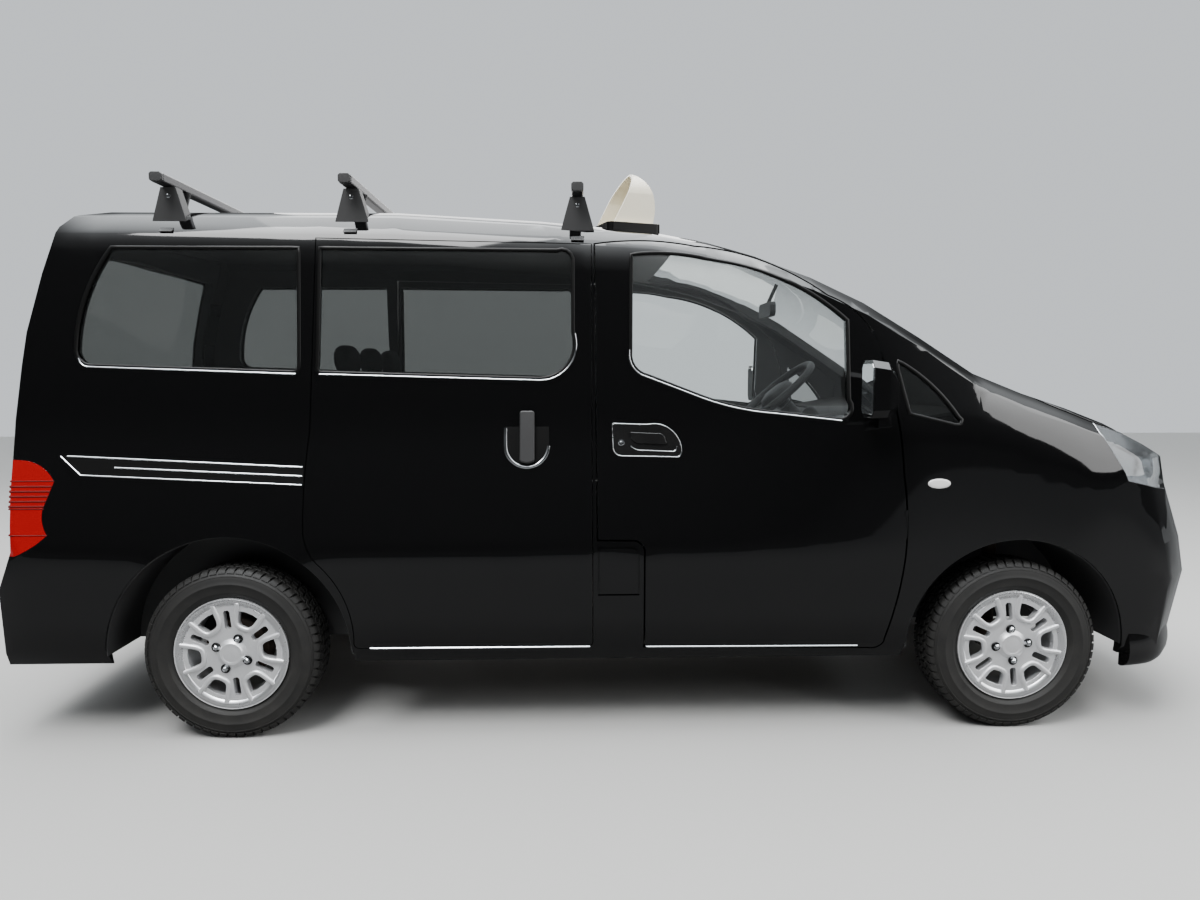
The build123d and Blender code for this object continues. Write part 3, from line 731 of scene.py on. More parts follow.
def pad_section(width: float, low: float, high: float) -> list[Point2]:
    """Low strip section with cut upper corners.

    Args:
        width: Width of the strip.
        low: Height of its back over the path.
        high: Height of its front over the path.

    Returns:
        The section's outline.
    """
    half, edge = width / 2, min(width, high - low) * 0.3
    return [
        (-half, low), (half, low), (half, high - edge),
        (half - edge, high), (edge - half, high), (-half, high - edge),
    ]


def lathe(
    name: str,
    profile: Sequence[Point2],
    centre: Point,
    out: float,
    steps: int = 96,
    ring: bool = True,
) -> bpy.types.Object:
    """Turn a profile round an axle that runs along Y.

    Args:
        name: Name of the piece.
        profile: (radius, distance outboard) points.
        centre: Middle of the axle.
        out: Sign of Y on the outboard side.
        steps: Divisions round the axle.
        ring: Whether the profile closes on itself.

    Returns:
        The linked mesh.
    """
    points, faces, count = [], [], len(profile)
    for k in range(steps):
        angle = math.tau * k / steps
        points += [
            (centre[0] + r * math.cos(angle), centre[1] + out * y, centre[2] + r * math.sin(angle))
            for r, y in profile
        ]
    for k in range(steps):
        one, two = k * count, (k + 1) % steps * count
        for s in range(count if ring else count - 1):
            t = (s + 1) % count
            faces.append((one + s, one + t, two + t, two + s))
    return mesh_object(name, points, faces)


def rounded(points: Sequence[Point2], radius: float, steps: int = 4) -> list[Point2]:
    """Round the corners of an open profile.

    Args:
        points: The corner points.
        radius: How far each corner is cut back.
        steps: Points along each rounded corner.

    Returns:
        The softer profile.
    """
    done = [points[0]]
    for before, here, after in zip(points, points[1:], points[2:]):
        cuts = []
        for other in (before, after):
            size = math.dist(here, other) or 1.0
            share = min(radius, size * 0.45) / size
            cuts.append((here[0] + (other[0] - here[0]) * share, here[1] + (other[1] - here[1]) * share))
        for k in range(steps + 1):
            t = k / steps
            done.append(tuple(
                (1 - t) ** 2 * cuts[0][a] + 2 * t * (1 - t) * here[a] + t * t * cuts[1][a] for a in range(2)
            ))
    return done + [points[-1]]


def prism(name: str, points: list[Point]) -> bpy.types.Object:
    """Closed solid between two outlines of the same length.

    Args:
        name: Name of the piece.
        points: One outline, then the other.

    Returns:
        The linked mesh.
    """
    count = len(points) // 2
    faces = [tuple(range(count)), tuple(reversed(range(count, 2 * count)))]
    faces += [(k, (k + 1) % count, count + (k + 1) % count, count + k) for k in range(count)]
    return mesh_object(name, points, faces)


def slab(name: str, outline: Sequence[Point], along: Vector, depth: float) -> bpy.types.Object:
    """Closed plate: a flat outline pushed along a direction.

    Args:
        name: Name of the piece.
        outline: Corner points.
        along: Direction of the push.
        depth: Length of the push.

    Returns:
        The linked mesh.
    """
    points = [tuple(Vector(p)) for p in outline] + [tuple(Vector(p) + along * depth) for p in outline]
    return prism(name, points)


def swing(to: Vector, place: Point) -> Matrix:
    """Turn that lays the Y axis along a direction, with a move to a place.

    Args:
        to: Where the Y axis goes.
        place: Where the origin goes.

    Returns:
        The transform.
    """
    turn = Vector((0, 1, 0)).rotation_difference(to).to_matrix().to_4x4()
    return Matrix.Translation(place) @ turn


def merged(name: str, objects: list[bpy.types.Object]) -> bpy.types.Object:
    """Join plain meshes into the first of them.

    Args:
        name: Name of the joined piece.
        objects: Pieces at the origin, without modifiers.

    Returns:
        One object that holds all of them.
    """
    form = bmesh.new()
    for obj in objects:
        form.from_mesh(obj.data)
    first = objects[0]
    form.to_mesh(first.data)
    form.free()
    for obj in objects[1:]:
        mesh = obj.data
        bpy.data.objects.remove(obj)
        bpy.data.meshes.remove(mesh)
    first.name = name
    return first


# Geometry Nodes


class RingArray:
    """Geometry Nodes tree that sets copies of a block round an axle and realizes them."""

    sizes: tuple[tuple[str, str, object], ...] = (
        ("Count", "NodeSocketInt", 56),
        ("Radius", "NodeSocketFloat", 0.3),
        ("Outboard", "NodeSocketFloat", 0.0),
        ("Start angle", "NodeSocketFloat", 0.0),
        ("Centre", "NodeSocketVector", (0.0, 0.0, 0.0)),
        ("Finish", "NodeSocketMaterial", None),
    )

    def __init__(self) -> None:
        """Build the tree once."""
        tree = bpy.data.node_groups.new("ring_array", "GeometryNodeTree")
        tree.interface.new_socket("Geometry", in_out="INPUT", socket_type="NodeSocketGeometry")
        for label, kind, default in self.sizes:
            socket = tree.interface.new_socket(label, in_out="INPUT", socket_type=kind)
            if default is not None:
                socket.default_value = default
        tree.interface.new_socket("Geometry", in_out="OUTPUT", socket_type="NodeSocketGeometry")
        kit = NodeKit(tree)
        source, sink = kit.add("NodeGroupInput"), kit.add("NodeGroupOutput")
        line = kit.add("GeometryNodeMeshLine")
        kit.link(source.outputs["Count"], line.inputs["Count"])
        index = kit.add("GeometryNodeInputIndex")
        step = kit.maths("DIVIDE", math.tau, source.outputs["Count"])
        angle = kit.maths("ADD", kit.maths("MULTIPLY", index.outputs[0], step), source.outputs["Start angle"])
        spot = kit.add("ShaderNodeCombineXYZ")
        kit.link(kit.maths("MULTIPLY", kit.maths("COSINE", angle), source.outputs["Radius"]), spot.inputs[0])
        kit.link(source.outputs["Outboard"], spot.inputs[1])
        kit.link(kit.maths("MULTIPLY", kit.maths("SINE", angle), source.outputs["Radius"]), spot.inputs[2])
        place = kit.add("GeometryNodeSetPosition")
        kit.link(line.outputs["Mesh"], place.inputs["Geometry"])
        kit.link(spot.outputs[0], place.inputs["Position"])
        kit.link(source.outputs["Centre"], place.inputs["Offset"])
        turn = kit.add("ShaderNodeCombineXYZ")
        kit.link(kit.maths("MULTIPLY", angle, -1.0), turn.inputs[1])
        copies = kit.add("GeometryNodeInstanceOnPoints")
        kit.link(place.outputs["Geometry"], copies.inputs["Points"])
        kit.link(source.outputs["Geometry"], copies.inputs["Instance"])
        kit.link(turn.outputs[0], copies.inputs["Rotation"])
        real = kit.add("GeometryNodeRealizeInstances")
        kit.link(copies.outputs["Instances"], real.inputs["Geometry"])
        finish = kit.add("GeometryNodeSetMaterial")
        kit.link(real.outputs["Geometry"], finish.inputs["Geometry"])
        kit.link(source.outputs["Finish"], finish.inputs["Material"])
        kit.link(finish.outputs["Geometry"], sink.inputs["Geometry"])
        self.tree = tree

    def spread(self, block: bpy.types.Object, **values: object) -> bpy.types.Object:
        """Repeat a block round an axle.

        Args:
            block: Mesh of one copy, drawn at the origin with X pointing away from the axle.
            **values: Values of the named inputs, blanks written as underscores.

        Returns:
            The same object, holding every copy as plain mesh.
        """
        modifier = block.modifiers.new("ring", "NODES")
        modifier.node_group = self.tree
        items = self.tree.interface.items_tree
        sockets = {item.name: item.identifier for item in items if item.in_out == "INPUT"}
        for label, value in values.items():
            modifier[sockets[label.replace("_", " ")]] = value
        return bake(block)


@dataclass
class CadSkins:
    """CAD nodes shown as welded copies with softened edges: finish, slot and bevel of each."""

    rows: tuple[tuple[Finish, str, dict[str, float]], ...] = (
        (BLACK_PLASTIC, "black_plastic", {
            "scuttle_panel": 0.002, "grille": 0.002, "wheel_arch_liners": 0.0, "room_mirror": 0.002,
        }),
        (UNDER_METAL, "floor_metal", {"floor_pan": 0.0, "bulkhead": 0.0, "front_frame": 0.003}),
        (ENGINE_METAL, "engine_metal", {"engine_block": 0.01}),
        (TANK_PLASTIC, "tank_plastic", {"fuel_tank": 0.01}),
        (AXLE_STEEL, "axle_steel", {"rear_axle": 0.002, "upright_right": 0.002, "upright_left": 0.002}),
        (EXHAUST_STEEL, "exhaust_steel", {"exhaust": 0.004}),
        (PAINT, "body_paint", {"door_mirror_right": 0.016, "door_mirror_left": 0.016}),
    )

    def build(self) -> None:
        """Make and dress one copy per node."""
        for finish, slot, nodes in self.rows:
            for node, width in nodes.items():
                obj = dress(soften(copy_node(node), width), finish, body_name(node))
                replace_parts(obj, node)


@dataclass
class OuterSkins:
    """Painted panels and flush panes, their normals averaged into one even surface."""

    edge: float = 0.0016
    grid: float = 0.07
    grid_offset: float = 0.0007
    least_cells: float = 2.5
    reach: float = 0.11
    outside: float = 0.2
    inside: float = -0.25
    same_way: float = 0.80
    same_surface: float = 0.90
    least_weight: float = 2.0e-4
    painted: tuple[str, ...] = (
        "roof_panel", "side_body_right", "side_body_left", "wing_right", "wing_left", "bonnet",
        "front_bumper", "rear_bumper", "tailgate", "sliding_door_right", "sliding_door_left",
        "fuel_flap", "front_door_right", "front_door_left",
    )
    trimmed: tuple[str, ...] = (
        "roof_panel", "side_body_right", "side_body_left", "tailgate", "sliding_door_right",
        "sliding_door_left", "front_door_right", "front_door_left",
    )
    others: dict[str, tuple[Finish, str]] = field(default_factory=lambda: {
        "windscreen": (CLEAR_GLASS, "clear_glass"),
        "door_glass_right": (CLEAR_GLASS, "clear_glass"),
        "door_glass_left": (CLEAR_GLASS, "clear_glass"),
        "side_glass": (DARK_GLASS, "dark_glass"),
        "tailgate_glass": (DARK_GLASS, "dark_glass"),
    })
    made: list[bpy.types.Object] = field(default_factory=list)

    def build(self) -> None:
        """Make every panel and pane."""
        for node in self.painted:
            obj = self.skin(node, self.edge)
            obj.data.materials.append(PAINT.material())
            if node in self.trimmed:
                obj.data.materials.append(TRIM_PLASTIC.material())
                self.mark_inside(obj)
            dress(obj, PAINT, body_name(node))
        for node, (finish, slot) in self.others.items():
            dress(self.skin(node, 0.0), finish, body_name(node))
        self.even_normals()

    def skin(self, node: str, width: float) -> bpy.types.Object:
        """Copy one node, cut its long faces into a grid and round its edges.

        Args:
            node: Name of the CAD node.
            width: Bevel width in metres.

        Returns:
            The new object, standing for the node.
        """
        obj = copy_node(node)
        with editing(obj.data) as form:
            corner = [min(v.co[k] for v in form.verts) for k in range(3)]
            far = [max(v.co[k] for v in form.verts) for k in range(3)]
            for axis in range(3):
                if far[axis] - corner[axis] < self.least_cells * self.grid:
                    continue
                normal = Vector([1.0 if k == axis else 0.0 for k in range(3)])
                steps = range(math.ceil(corner[axis] / self.grid), math.floor(far[axis] / self.grid) + 1)
                for step in steps:
                    geometry = form.verts[:] + form.edges[:] + form.faces[:]
                    plane = normal * (step * self.grid + self.grid_offset)
                    bmesh.ops.bisect_plane(form, geom=geometry, dist=1e-5, plane_co=plane, plane_no=normal)
        soften(obj, width)
        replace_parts(obj, node)
        self.made.append(obj)
        return obj

    def mark_inside(self, obj: bpy.types.Object) -> None:
        """Give the faces that look into the cabin the trim finish."""
        for face in obj.data.polygons:
            if face.normal.dot(outward(face.center)) < self.inside:
                face.material_index = 1

    def even_normals(self) -> None:
        """Average the outer normals over all the panels and store them on each."""
        places, normals, weights = [], [], []
        for obj in self.made:
            for face in obj.data.polygons:
                if face.normal.dot(outward(face.center)) > self.outside:
                    places.append(face.center.copy())
                    normals.append(face.normal.copy())
                    weights.append(face.area)
        tree = KDTree(len(places))
        for index, place in enumerate(places):
            tree.insert(place, index)
        tree.balance()
        for obj in self.made:
            self.store(obj, tree, normals, weights)

    def store(
        self,
        obj: bpy.types.Object,
        tree: KDTree,
        normals: list[Vector],
        weights: list[float],
    ) -> None:
        """Write the averaged normals to one object's corners.

        Args:
            obj: Panel or pane.
            tree: Search tree over the outer faces of all panels.
            normals: Normal of each outer face.
            weights: Area of each outer face.
        """
        mesh = obj.data
        corners = [Vector(c.vector) for c in mesh.corner_normals]
        known: dict[tuple[int, int, int, int], Vector | None] = {}
        pane = obj.name.removesuffix("_skin") in self.others
        for face in mesh.polygons:
            facing = face.normal.dot(outward(face.center))
            if facing < self.outside and not (pane and facing < -self.outside):
                continue
            turn = 1.0 if facing > 0 else -1.0
            own = face.normal * turn
            key_n = tuple(round(c * 3) for c in own)
            for loop in face.loop_indices:
                vertex = mesh.loops[loop].vertex_index
                key = (vertex, *key_n)
                if key not in known:
                    total, amount = Vector(), 0.0
                    place = mesh.vertices[vertex].co
                    for _, index, distance in tree.find_range(place, self.reach):
                        if normals[index].dot(own) > self.same_way:
                            share = weights[index] * (1.0 - distance / self.reach)
                            total += normals[index] * share
                            amount += share
                    known[key] = total.normalized() if amount > self.least_weight else None
                found = known[key]
                if found is not None and found.dot(own) > self.same_surface:
                    corners[loop] = found * turn
        mesh.normals_split_custom_set(corners)


@dataclass(frozen=True)
class Flank:
    """One side of the van and its surface."""

    side: Side
    skin: Skin

    def lay(self, outline: Outline, step: float = 0.02) -> list[tuple[Vector, Vector]]:
        """Lay an outline in millimetres on the surface."""
        return self.skin.along(trace(*outline, step=step), self.side)

    def plate(self, name: str, outline: Outline, step: float, heights: Point2) -> bpy.types.Object:
        """Make a flat piece that follows the skin inside an outline.

        Args:
            name: Name of the piece, without the side's word.
            outline: Its closed outline.
            step: Greatest distance between points.
            heights: Heights of its back and its front over the skin.

        Returns:
            The closed mesh.
        """
        path = self.skin.along(trace(*outline, step=step)[:-1], self.side)
        points = [tuple(spot + normal * height) for height in heights for spot, normal in path]
        return prism(f"{name}_{self.side.word}", points)


@dataclass
class SideTrim:
    """Seals, bright strips, handles and repeater on both sides; outlines in millimetres."""

    fine: float = 0.006
    coarse: float = 0.008
    seal_width: float = 0.013
    seal_rise: float = 0.0026
    bright_width: float = 0.0055
    bright_rise: float = 0.0042
    handle_edge: float = 0.0032
    line_rise: float = 0.0016
    lock_at: Point2 = (-0.021, 1.021)
    lock_radius: float = 0.0115
    lock_profile: tuple[Point2, ...] = (
        (0.0, 0.0030), (0.35, 0.0030), (0.40, 0.0018), (0.70, 0.0018), (0.78, 0.0034),
        (1.0, 0.0030), (1.0, -0.004), (0.0, -0.004),
    )
    repeater_at: Point2 = (1.066, 0.881)
    repeater_half: Point2 = (0.041, 0.0175)
    repeater_steps: int = 40
    windows: dict[str, tuple[str, Outline]] = field(default_factory=lambda: {
        "quarter": ("body", ((-1124, 1690), [
            ((-1124, 1284),), ((-1130, 1268), (-1150, 1264)), ((-1834, 1287),),
            ((-1866, 1306), (-1878, 1354)), ((-1832, 1560), (-1757, 1690)), ((-1124, 1690),),
        ])),
        "sliding": ("body", ((-185, 1655), [
            ((-185, 1400),), ((-196, 1300), (-300, 1240)), ((-1040, 1262),), ((-1062, 1266), (-1064, 1290)),
            ((-1054, 1690),), ((-240, 1684),), ((-200, 1680), (-185, 1655)),
        ])),
        "front": ("door", ((17, 1668), [
            ((14, 1336),), ((26, 1282), (74, 1251)), ((244, 1185),), ((370, 1146), (511, 1125)),
            ((737, 1100),), ((758, 1110), (762, 1167)), ((762, 1440),), ((560, 1576), (278, 1654)),
            ((150, 1672), (17, 1668)),
        ])),
        "corner": ("body", ((932, 1272), [
            ((966, 1120),), ((1122, 1082),), ((1136, 1084), (1130, 1110)), ((1060, 1200), (932, 1300)),
            ((932, 1272),),
        ])),
    })
    bright: dict[str, tuple[str, Outline]] = field(default_factory=lambda: {
        "sill_front": ("body", ((64, 316), [((802, 311),)])),
        "sill_rear": ("body", ((-884, 321), [((-132, 319),)])),
        "quarter": ("body", ((-1868, 1312), [((-1856, 1291), (-1834, 1283)), ((-1136, 1258),)])),
        "sliding": ("body", ((-1056, 1257), [((-302, 1235),), ((-192, 1296), (-180, 1396))])),
        "front": ("door", ((9, 1340), [
            ((21, 1280), (70, 1246)), ((242, 1180),), ((368, 1141), (510, 1120)), ((737, 1095),),
        ])),
        "rail": ("body", ((-1900, 981), [((-1110, 941),)])),
        "rail_foot": ("body", ((-1740, 942), [((-1110, 911),)])),
        "rail_low": ("body", ((-1922, 980), [((-1852, 917),), ((-1110, 881),)])),
    })
    handle: Outline = ((-48, 1086), [
        ((70, 1082),), ((158, 1058), (186, 1000)), ((186, 986), (176, 971)), ((-20, 975),),
        ((-42, 985), (-50, 1010)), ((-52, 1070),), ((-50, 1082), (-38, 1086)), ((-48, 1086),),
    ])
    handle_cup: Outline = ((6, 1060), [
        ((104, 1056),), ((142, 1046), (160, 1018)), ((164, 996), (150, 993)), ((56, 996),),
        ((18, 1010), (2, 1052)), ((2, 1058), (6, 1060)),
    ])
    handle_paddle: Outline = ((14, 1056), [
        ((100, 1052),), ((124, 1046), (132, 1026)), ((136, 1016), (126, 1014)), ((44, 1017),),
        ((20, 1026), (10, 1050)), ((10, 1055), (14, 1056)),
    ])
    cup: Outline = ((-422, 1076), [
        ((-422, 1010),), ((-346, 936), (-270, 1010)), ((-270, 1076),), ((-422, 1076),),
    ])
    grip: Outline = ((-370, 958), [
        ((-344, 950), (-319, 958)), ((-319, 1122),), ((-321, 1128), (-328, 1130)), ((-361, 1130),),
        ((-368, 1128), (-370, 1122)), ((-370, 958),),
    ])
    track: Outline = ((-1926, 984), [
        ((-1106, 943),), ((-1106, 882),), ((-1852, 918),), ((-1926, 984),),
    ])
    handle_line: Outline = ((-4, 1050), [
        ((8, 1012), (50, 994)), ((150, 990),), ((166, 994), (170, 1006)),
    ])
    cup_line: Outline = ((-420, 1072), [((-420, 1010),), ((-346, 938), (-272, 1010))])

    def build(self) -> None:
        """Make the trim of each side."""
        nodes = ("roof_panel", "side_body_{}", "front_door_{}", "sliding_door_{}", "wing_{}")
        for side in Side:
            flank = Flank(side, Skin(tuple(node.format(side.word) for node in nodes)))
            bodies = {"body": "body", "door": body_name(f"front_door_{side.word}")}
            for name, (body, outline) in self.windows.items():
                line = shift(trace(*outline)[:-1], -0.001, True)
                section = pad_section(self.seal_width, -0.005, self.seal_rise)
                piece = strip(f"seal_{name}_{side.word}", flank.skin.along(line, side), section, True)
                dress(soften(piece, 0.0, 60.0), SEAL_RUBBER, bodies[body])
            for name, (body, outline) in self.bright.items():
                section = pad_section(self.bright_width, -0.001, self.bright_rise)
                piece = strip(f"bright_{name}_{side.word}", flank.lay(outline), section)
                dress(soften(piece, 0.0, 60.0), CHROME, bodies[body])
            self.door_handle(flank, bodies["door"])
            self.grip_cup(flank)
            self.repeater(flank)

    def door_handle(self, flank: Flank, body: str) -> None:
        """Plate, cup, paddle, bright outline, inner line and lock of the front door's handle.

        Args:
            flank: Side of the van.
            body: The door's body.
        """
        word, sign = flank.side.word, flank.side.sign
        for name, outline, heights, width, steps, finish in (
            ("plate", self.handle, (-0.002, 0.0009), 0.0006, 2, PIANO_BLACK),
            ("cup", self.handle_cup, (-0.002, 0.0013), 0.0, 2, SEAL_RUBBER),
            ("paddle", self.handle_paddle, (-0.001, 0.0085), 0.003, 3, PIANO_BLACK),
        ):
            piece = flank.plate(f"handle_{name}", outline, self.fine, heights)
            dress(soften(piece, width, 30.0, steps), finish, body)
        section = pad_section(self.handle_edge, -0.001, self.line_rise)
        edge = strip(f"handle_outline_{word}", flank.lay(self.handle, self.fine)[:-1], section, True)
        dress(soften(edge, 0.0, 60.0), CHROME, body)
        section = pad_section(self.handle_edge, -0.003, self.line_rise)
        inner = strip(f"handle_line_{word}", flank.lay(self.handle_line, self.fine), section)
        dress(soften(inner, 0.0, 60.0), CHROME, body)
        spot = flank.skin.cast((self.lock_at[0], 0.0, self.lock_at[1]), 1, sign)
        profile = [(self.lock_radius * share, out) for share, out in self.lock_profile]
        lock = lathe(f"door_lock_{word}", profile, tuple(spot[0]), sign, 32, False)
        dress(soften(lock, 0.0, 40.0), CHROME, body)

    def grip_cup(self, flank: Flank) -> None:
        """Cup with a bright lower rim, the upright grip over it, and the door's track.

        Args:
            flank: Side of the van.
        """
        for name, outline, step, heights, width, finish in (
            ("grip_cup", self.cup, self.coarse, (-0.002, 0.0009), 0.0, SEAL_RUBBER),
            ("grip_bar", self.grip, self.coarse, (0.0, 0.021), 0.005, BLACK_PLASTIC),
            ("slide_track", self.track, 0.05, (-0.002, 0.0007), 0.0, SEAL_RUBBER),
        ):
            piece = flank.plate(name, outline, step, heights)
            dress(soften(piece, width, 30.0, 3), finish, "body")
        path = flank.lay(self.cup_line, self.coarse)
        rim = strip(f"cup_rim_{flank.side.word}", path, pad_section(0.012, -0.004, 0.0022))
        dress(soften(rim, 0.0, 60.0), CHROME, "body")

    def repeater(self, flank: Flank) -> None:
        """White oval side repeater on the wing, in a thin dark ring.

        Args:
            flank: Side of the van.
        """
        word, sign = flank.side.word, flank.side.sign
        half_x, half_z = self.repeater_half
        count = self.repeater_steps
        rings = (1.0, 0.93, 0.75, 0.45)
        for name, grow, rise, finish, slot in (
            ("repeater_ring", 0.0035, 0.0016, SEAL_RUBBER, "black_plastic"),
            ("repeater_lens", 0.0, 0.0062, WHITE_LENS, "lamp_lens"),
        ):
            points, faces = [], []
            heights = (-0.002, rise * 0.55, rise * 0.9, rise)
            for share, height in zip(rings, heights):
                for k in range(count):
                    angle = math.tau * k / count
                    x = self.repeater_at[0] + (half_x + grow) * share * math.cos(angle)
                    z = self.repeater_at[1] + (half_z + grow) * share * math.sin(angle)
                    spot, normal = flank.skin.cast((x, 0.0, z), 1, sign)
                    points.append(tuple(spot + normal * height))
            for ring in range(len(rings) - 1):
                for k in range(count):
                    one, two = ring * count + k, ring * count + (k + 1) % count
                    faces.append((one, two, two + count, one + count))
            faces += [tuple(range(count)), tuple(range((len(rings) - 1) * count, len(rings) * count))]
            piece = mesh_object(f"{name}_{word}", points, faces)
            dress(soften(piece, 0.0, 50.0), finish, body_name(f"wing_{word}"))


@dataclass(frozen=True)
class Corner:
    """Place of one wheel: its name, its middle, the sign of Y outboard and its body."""

    name: str
    centre: Point
    out: float
    body: str


@dataclass
class Wheels:
    """Alloy wheels with raised ribs, nuts and cap, and tyres with tread blocks."""

    disc_front: float = 0.066
    windows: int = 6
    window_radius: float = 0.13
    probe_steps: int = 720
    rib_width: float = 0.017
    rib_rise: float = 0.0085
    rib_corner: float = 0.018
    rib_line: tuple[Point2, ...] = (
        (0.171, 0.049), (0.113, 0.0345), (0.096, 0.020), (0.096, -0.020), (0.113, -0.0345), (0.171, -0.049),
    )
    lip_profile: tuple[Point2, ...] = (
        (0.1655, -0.002), (0.1700, 0.0022), (0.1765, 0.0058), (0.1820, 0.0074), (0.1905, 0.0074),
        (0.1952, 0.0036), (0.1952, -0.004), (0.1655, -0.006),
    )
    cap_profile: tuple[Point2, ...] = (
        (0.0, 0.0115), (0.0165, 0.0110), (0.0275, 0.0098), (0.0287, 0.0085), (0.0301, 0.0105),
        (0.037, 0.0108), (0.0405, 0.006), (0.052, 0.0005), (0.052, -0.004), (0.0, -0.004),
    )
    studs: int = 4
    stud_circle: float = 0.05715
    stud_rise: float = 0.070
    # Ring drawn near-black round each stud: painted shade of the nut recess.
    well_profile: tuple[Point2, ...] = (
        (0.0105, 0.0), (0.0150, 0.0), (0.0165, 0.0035), (0.0150, 0.0052), (0.0120, 0.0022), (0.0105, 0.0022),
    )
    nut_profile: tuple[Point2, ...] = (
        (0.0, 0.0142), (0.0052, 0.0138), (0.0092, 0.0108), (0.0106, 0.0100), (0.0112, 0.0), (0.0, 0.0),
    )
    bead: Point2 = (0.1785, 0.0600)
    wall_profile: tuple[Point2, ...] = (
        (0.1960, 0.0640), (0.2035, 0.0700), (0.2090, 0.0765), (0.2125, 0.0785), (0.2140, 0.0802),
        (0.2165, 0.0808), (0.2185, 0.0806), (0.2320, 0.0846), (0.2420, 0.0858), (0.2436, 0.0868),
        (0.2470, 0.0868), (0.2486, 0.0856), (0.2600, 0.0842), (0.2700, 0.0806), (0.2712, 0.0812),
        (0.2738, 0.0802), (0.2746, 0.0786), (0.2830, 0.0738), (0.2890, 0.0690), (0.2915, 0.0630),
        (0.2922, 0.0450),
    )
    tread_foot: float = 0.288
    tread_top: float = 0.2996
    tyre_across: float = 0.6
    block_rows: int = 60
    block_edge: float = 0.0014
    ribs: tuple[tuple[float, float, float, float], ...] = (
        (0.0, 0.012, 0.0225, 0.3), (0.0275, 0.0105, 0.0235, 0.5), (-0.0275, 0.0105, 0.0235, 0.5),
    )
    rib_turn: float = 0.02
    shoulder_turn: float = 0.05
    shoulder_half: float = 0.0118
    shoulder_start: float = 0.043
    shoulder_lean: float = 0.22
    corners: tuple[str, ...] = ("front_right", "front_left", "rear_right", "rear_left")
    ring: RingArray = field(default_factory=RingArray)

    def build(self) -> None:
        """Make the four wheels and tyres."""
        for name in self.corners:
            low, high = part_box(f"tyre_{name}")
            centre = tuple((low[k] + high[k]) / 2 for k in range(3))
            out = -1.0 if name.endswith("right") else 1.0
            corner = Corner(name, centre, out, body_name(f"wheel_{name}"))
            self.alloy(corner)
            self.tyre(corner)

    def phase(self, corner: Corner, radius: float, count: int, rise: float | None) -> float:
        """Angle at which a repeated feature stands on the CAD wheel.

        Args:
            corner: The wheel's place.
            radius: Distance from the axle.
            count: How often the feature comes in a turn.
            rise: Least outboard height of the feature; None looks for openings.

        Returns:
            The angle in radians.
        """
        tree, total = Skin((f"wheel_{corner.name}",)).tree, 0j
        middle, inboard = Vector(corner.centre), Vector((0.0, -corner.out, 0.0))
        for step in range(self.probe_steps):
            angle = math.tau * step / self.probe_steps
            spoke = Vector((radius * math.cos(angle), corner.out * 0.3, radius * math.sin(angle)))
            hit = tree.ray_cast(middle + spoke, inboard, 0.5)[0]
            high = hit is not None and rise is not None and corner.out * (hit.y - middle.y) > rise
            if high or (hit is None and rise is None):
                total += cmath.exp(1j * angle * count)
        return cmath.phase(total) / count

    def alloy(self, corner: Corner) -> None:
        """Dress one wheel.

        Args:
            corner: The wheel's place.
        """
        node = f"wheel_{corner.name}"
        base = dress(soften(copy_node(node), 0.0022, 30.0), ALLOY, corner.body)
        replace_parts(base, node)
        self.spoke_ribs(corner)
        for name, profile, steps, ring, hard, finish in (
            ("rim_lip", self.lip_profile, 120, True, 60.0, ALLOY_BRIGHT),
            ("wheel_cap", self.cap_profile, 72, False, 40.0, ALLOY),
        ):
            section = [(r, self.disc_front + y) for r, y in profile]
            piece = lathe(f"{name}_{corner.name}", section, corner.centre, corner.out, steps, ring)
            dress(soften(piece, 0.0, hard), finish, corner.body)
        self.nuts(corner)

    def spoke_ribs(self, corner: Corner) -> None:
        """Raised rib round each opening of the disc.

        Args:
            corner: The wheel's place.
        """
        start = self.phase(corner, self.window_radius, self.windows, None)
        middle = Vector(corner.centre)
        half, rise = self.rib_width / 2, self.rib_rise
        section = [
            (-half, -0.004), (half, -0.004), (half * 0.95, rise * 0.45), (half * 0.62, rise * 0.9),
            (0.0, rise), (-half * 0.62, rise * 0.9), (-half * 0.95, rise * 0.45),
        ]
        made = []
        for k in range(self.windows):
            turn = start + math.tau * k / self.windows
            path = []
            for along, across in rounded(self.rib_line, self.rib_corner, 5):
                x = along * math.cos(turn) - across * math.sin(turn)
                z = along * math.sin(turn) + across * math.cos(turn)
                spot = middle + Vector((x, corner.out * self.disc_front, z))
                path.append((spot, Vector((0, corner.out, 0))))
            made.append(strip(f"rib_{corner.name}_{k}", path, section))
        ribs = merged(f"wheel_ribs_{corner.name}", made)
        dress(soften(ribs, 0.0, 50.0), ALLOY, corner.body)

    def nuts(self, corner: Corner) -> None:
        """Near-black rings of painted shade round the studs, with bright wheel nuts.

        Args:
            corner: The wheel's place.
        """
        start = self.phase(corner, self.stud_circle, self.studs, self.stud_rise)
        for name, profile, sides, ring, finish in (
            # The near-black ring round each nut is painted shade of its recess.
            ("nut_wells", self.well_profile, 28, True, SEAL_RUBBER),
            ("wheel_nuts", self.nut_profile, 6, False, CHROME),
        ):
            block = lathe(f"{name}_{corner.name}", profile, ORIGIN, corner.out, sides, ring)
            self.ring.spread(
                block, Count=self.studs, Radius=self.stud_circle, Outboard=corner.out * self.disc_front,
                Start_angle=start, Centre=corner.centre, Finish=finish.material(),
            )
            dress(soften(block, 0.0, 35.0), finish, corner.body)

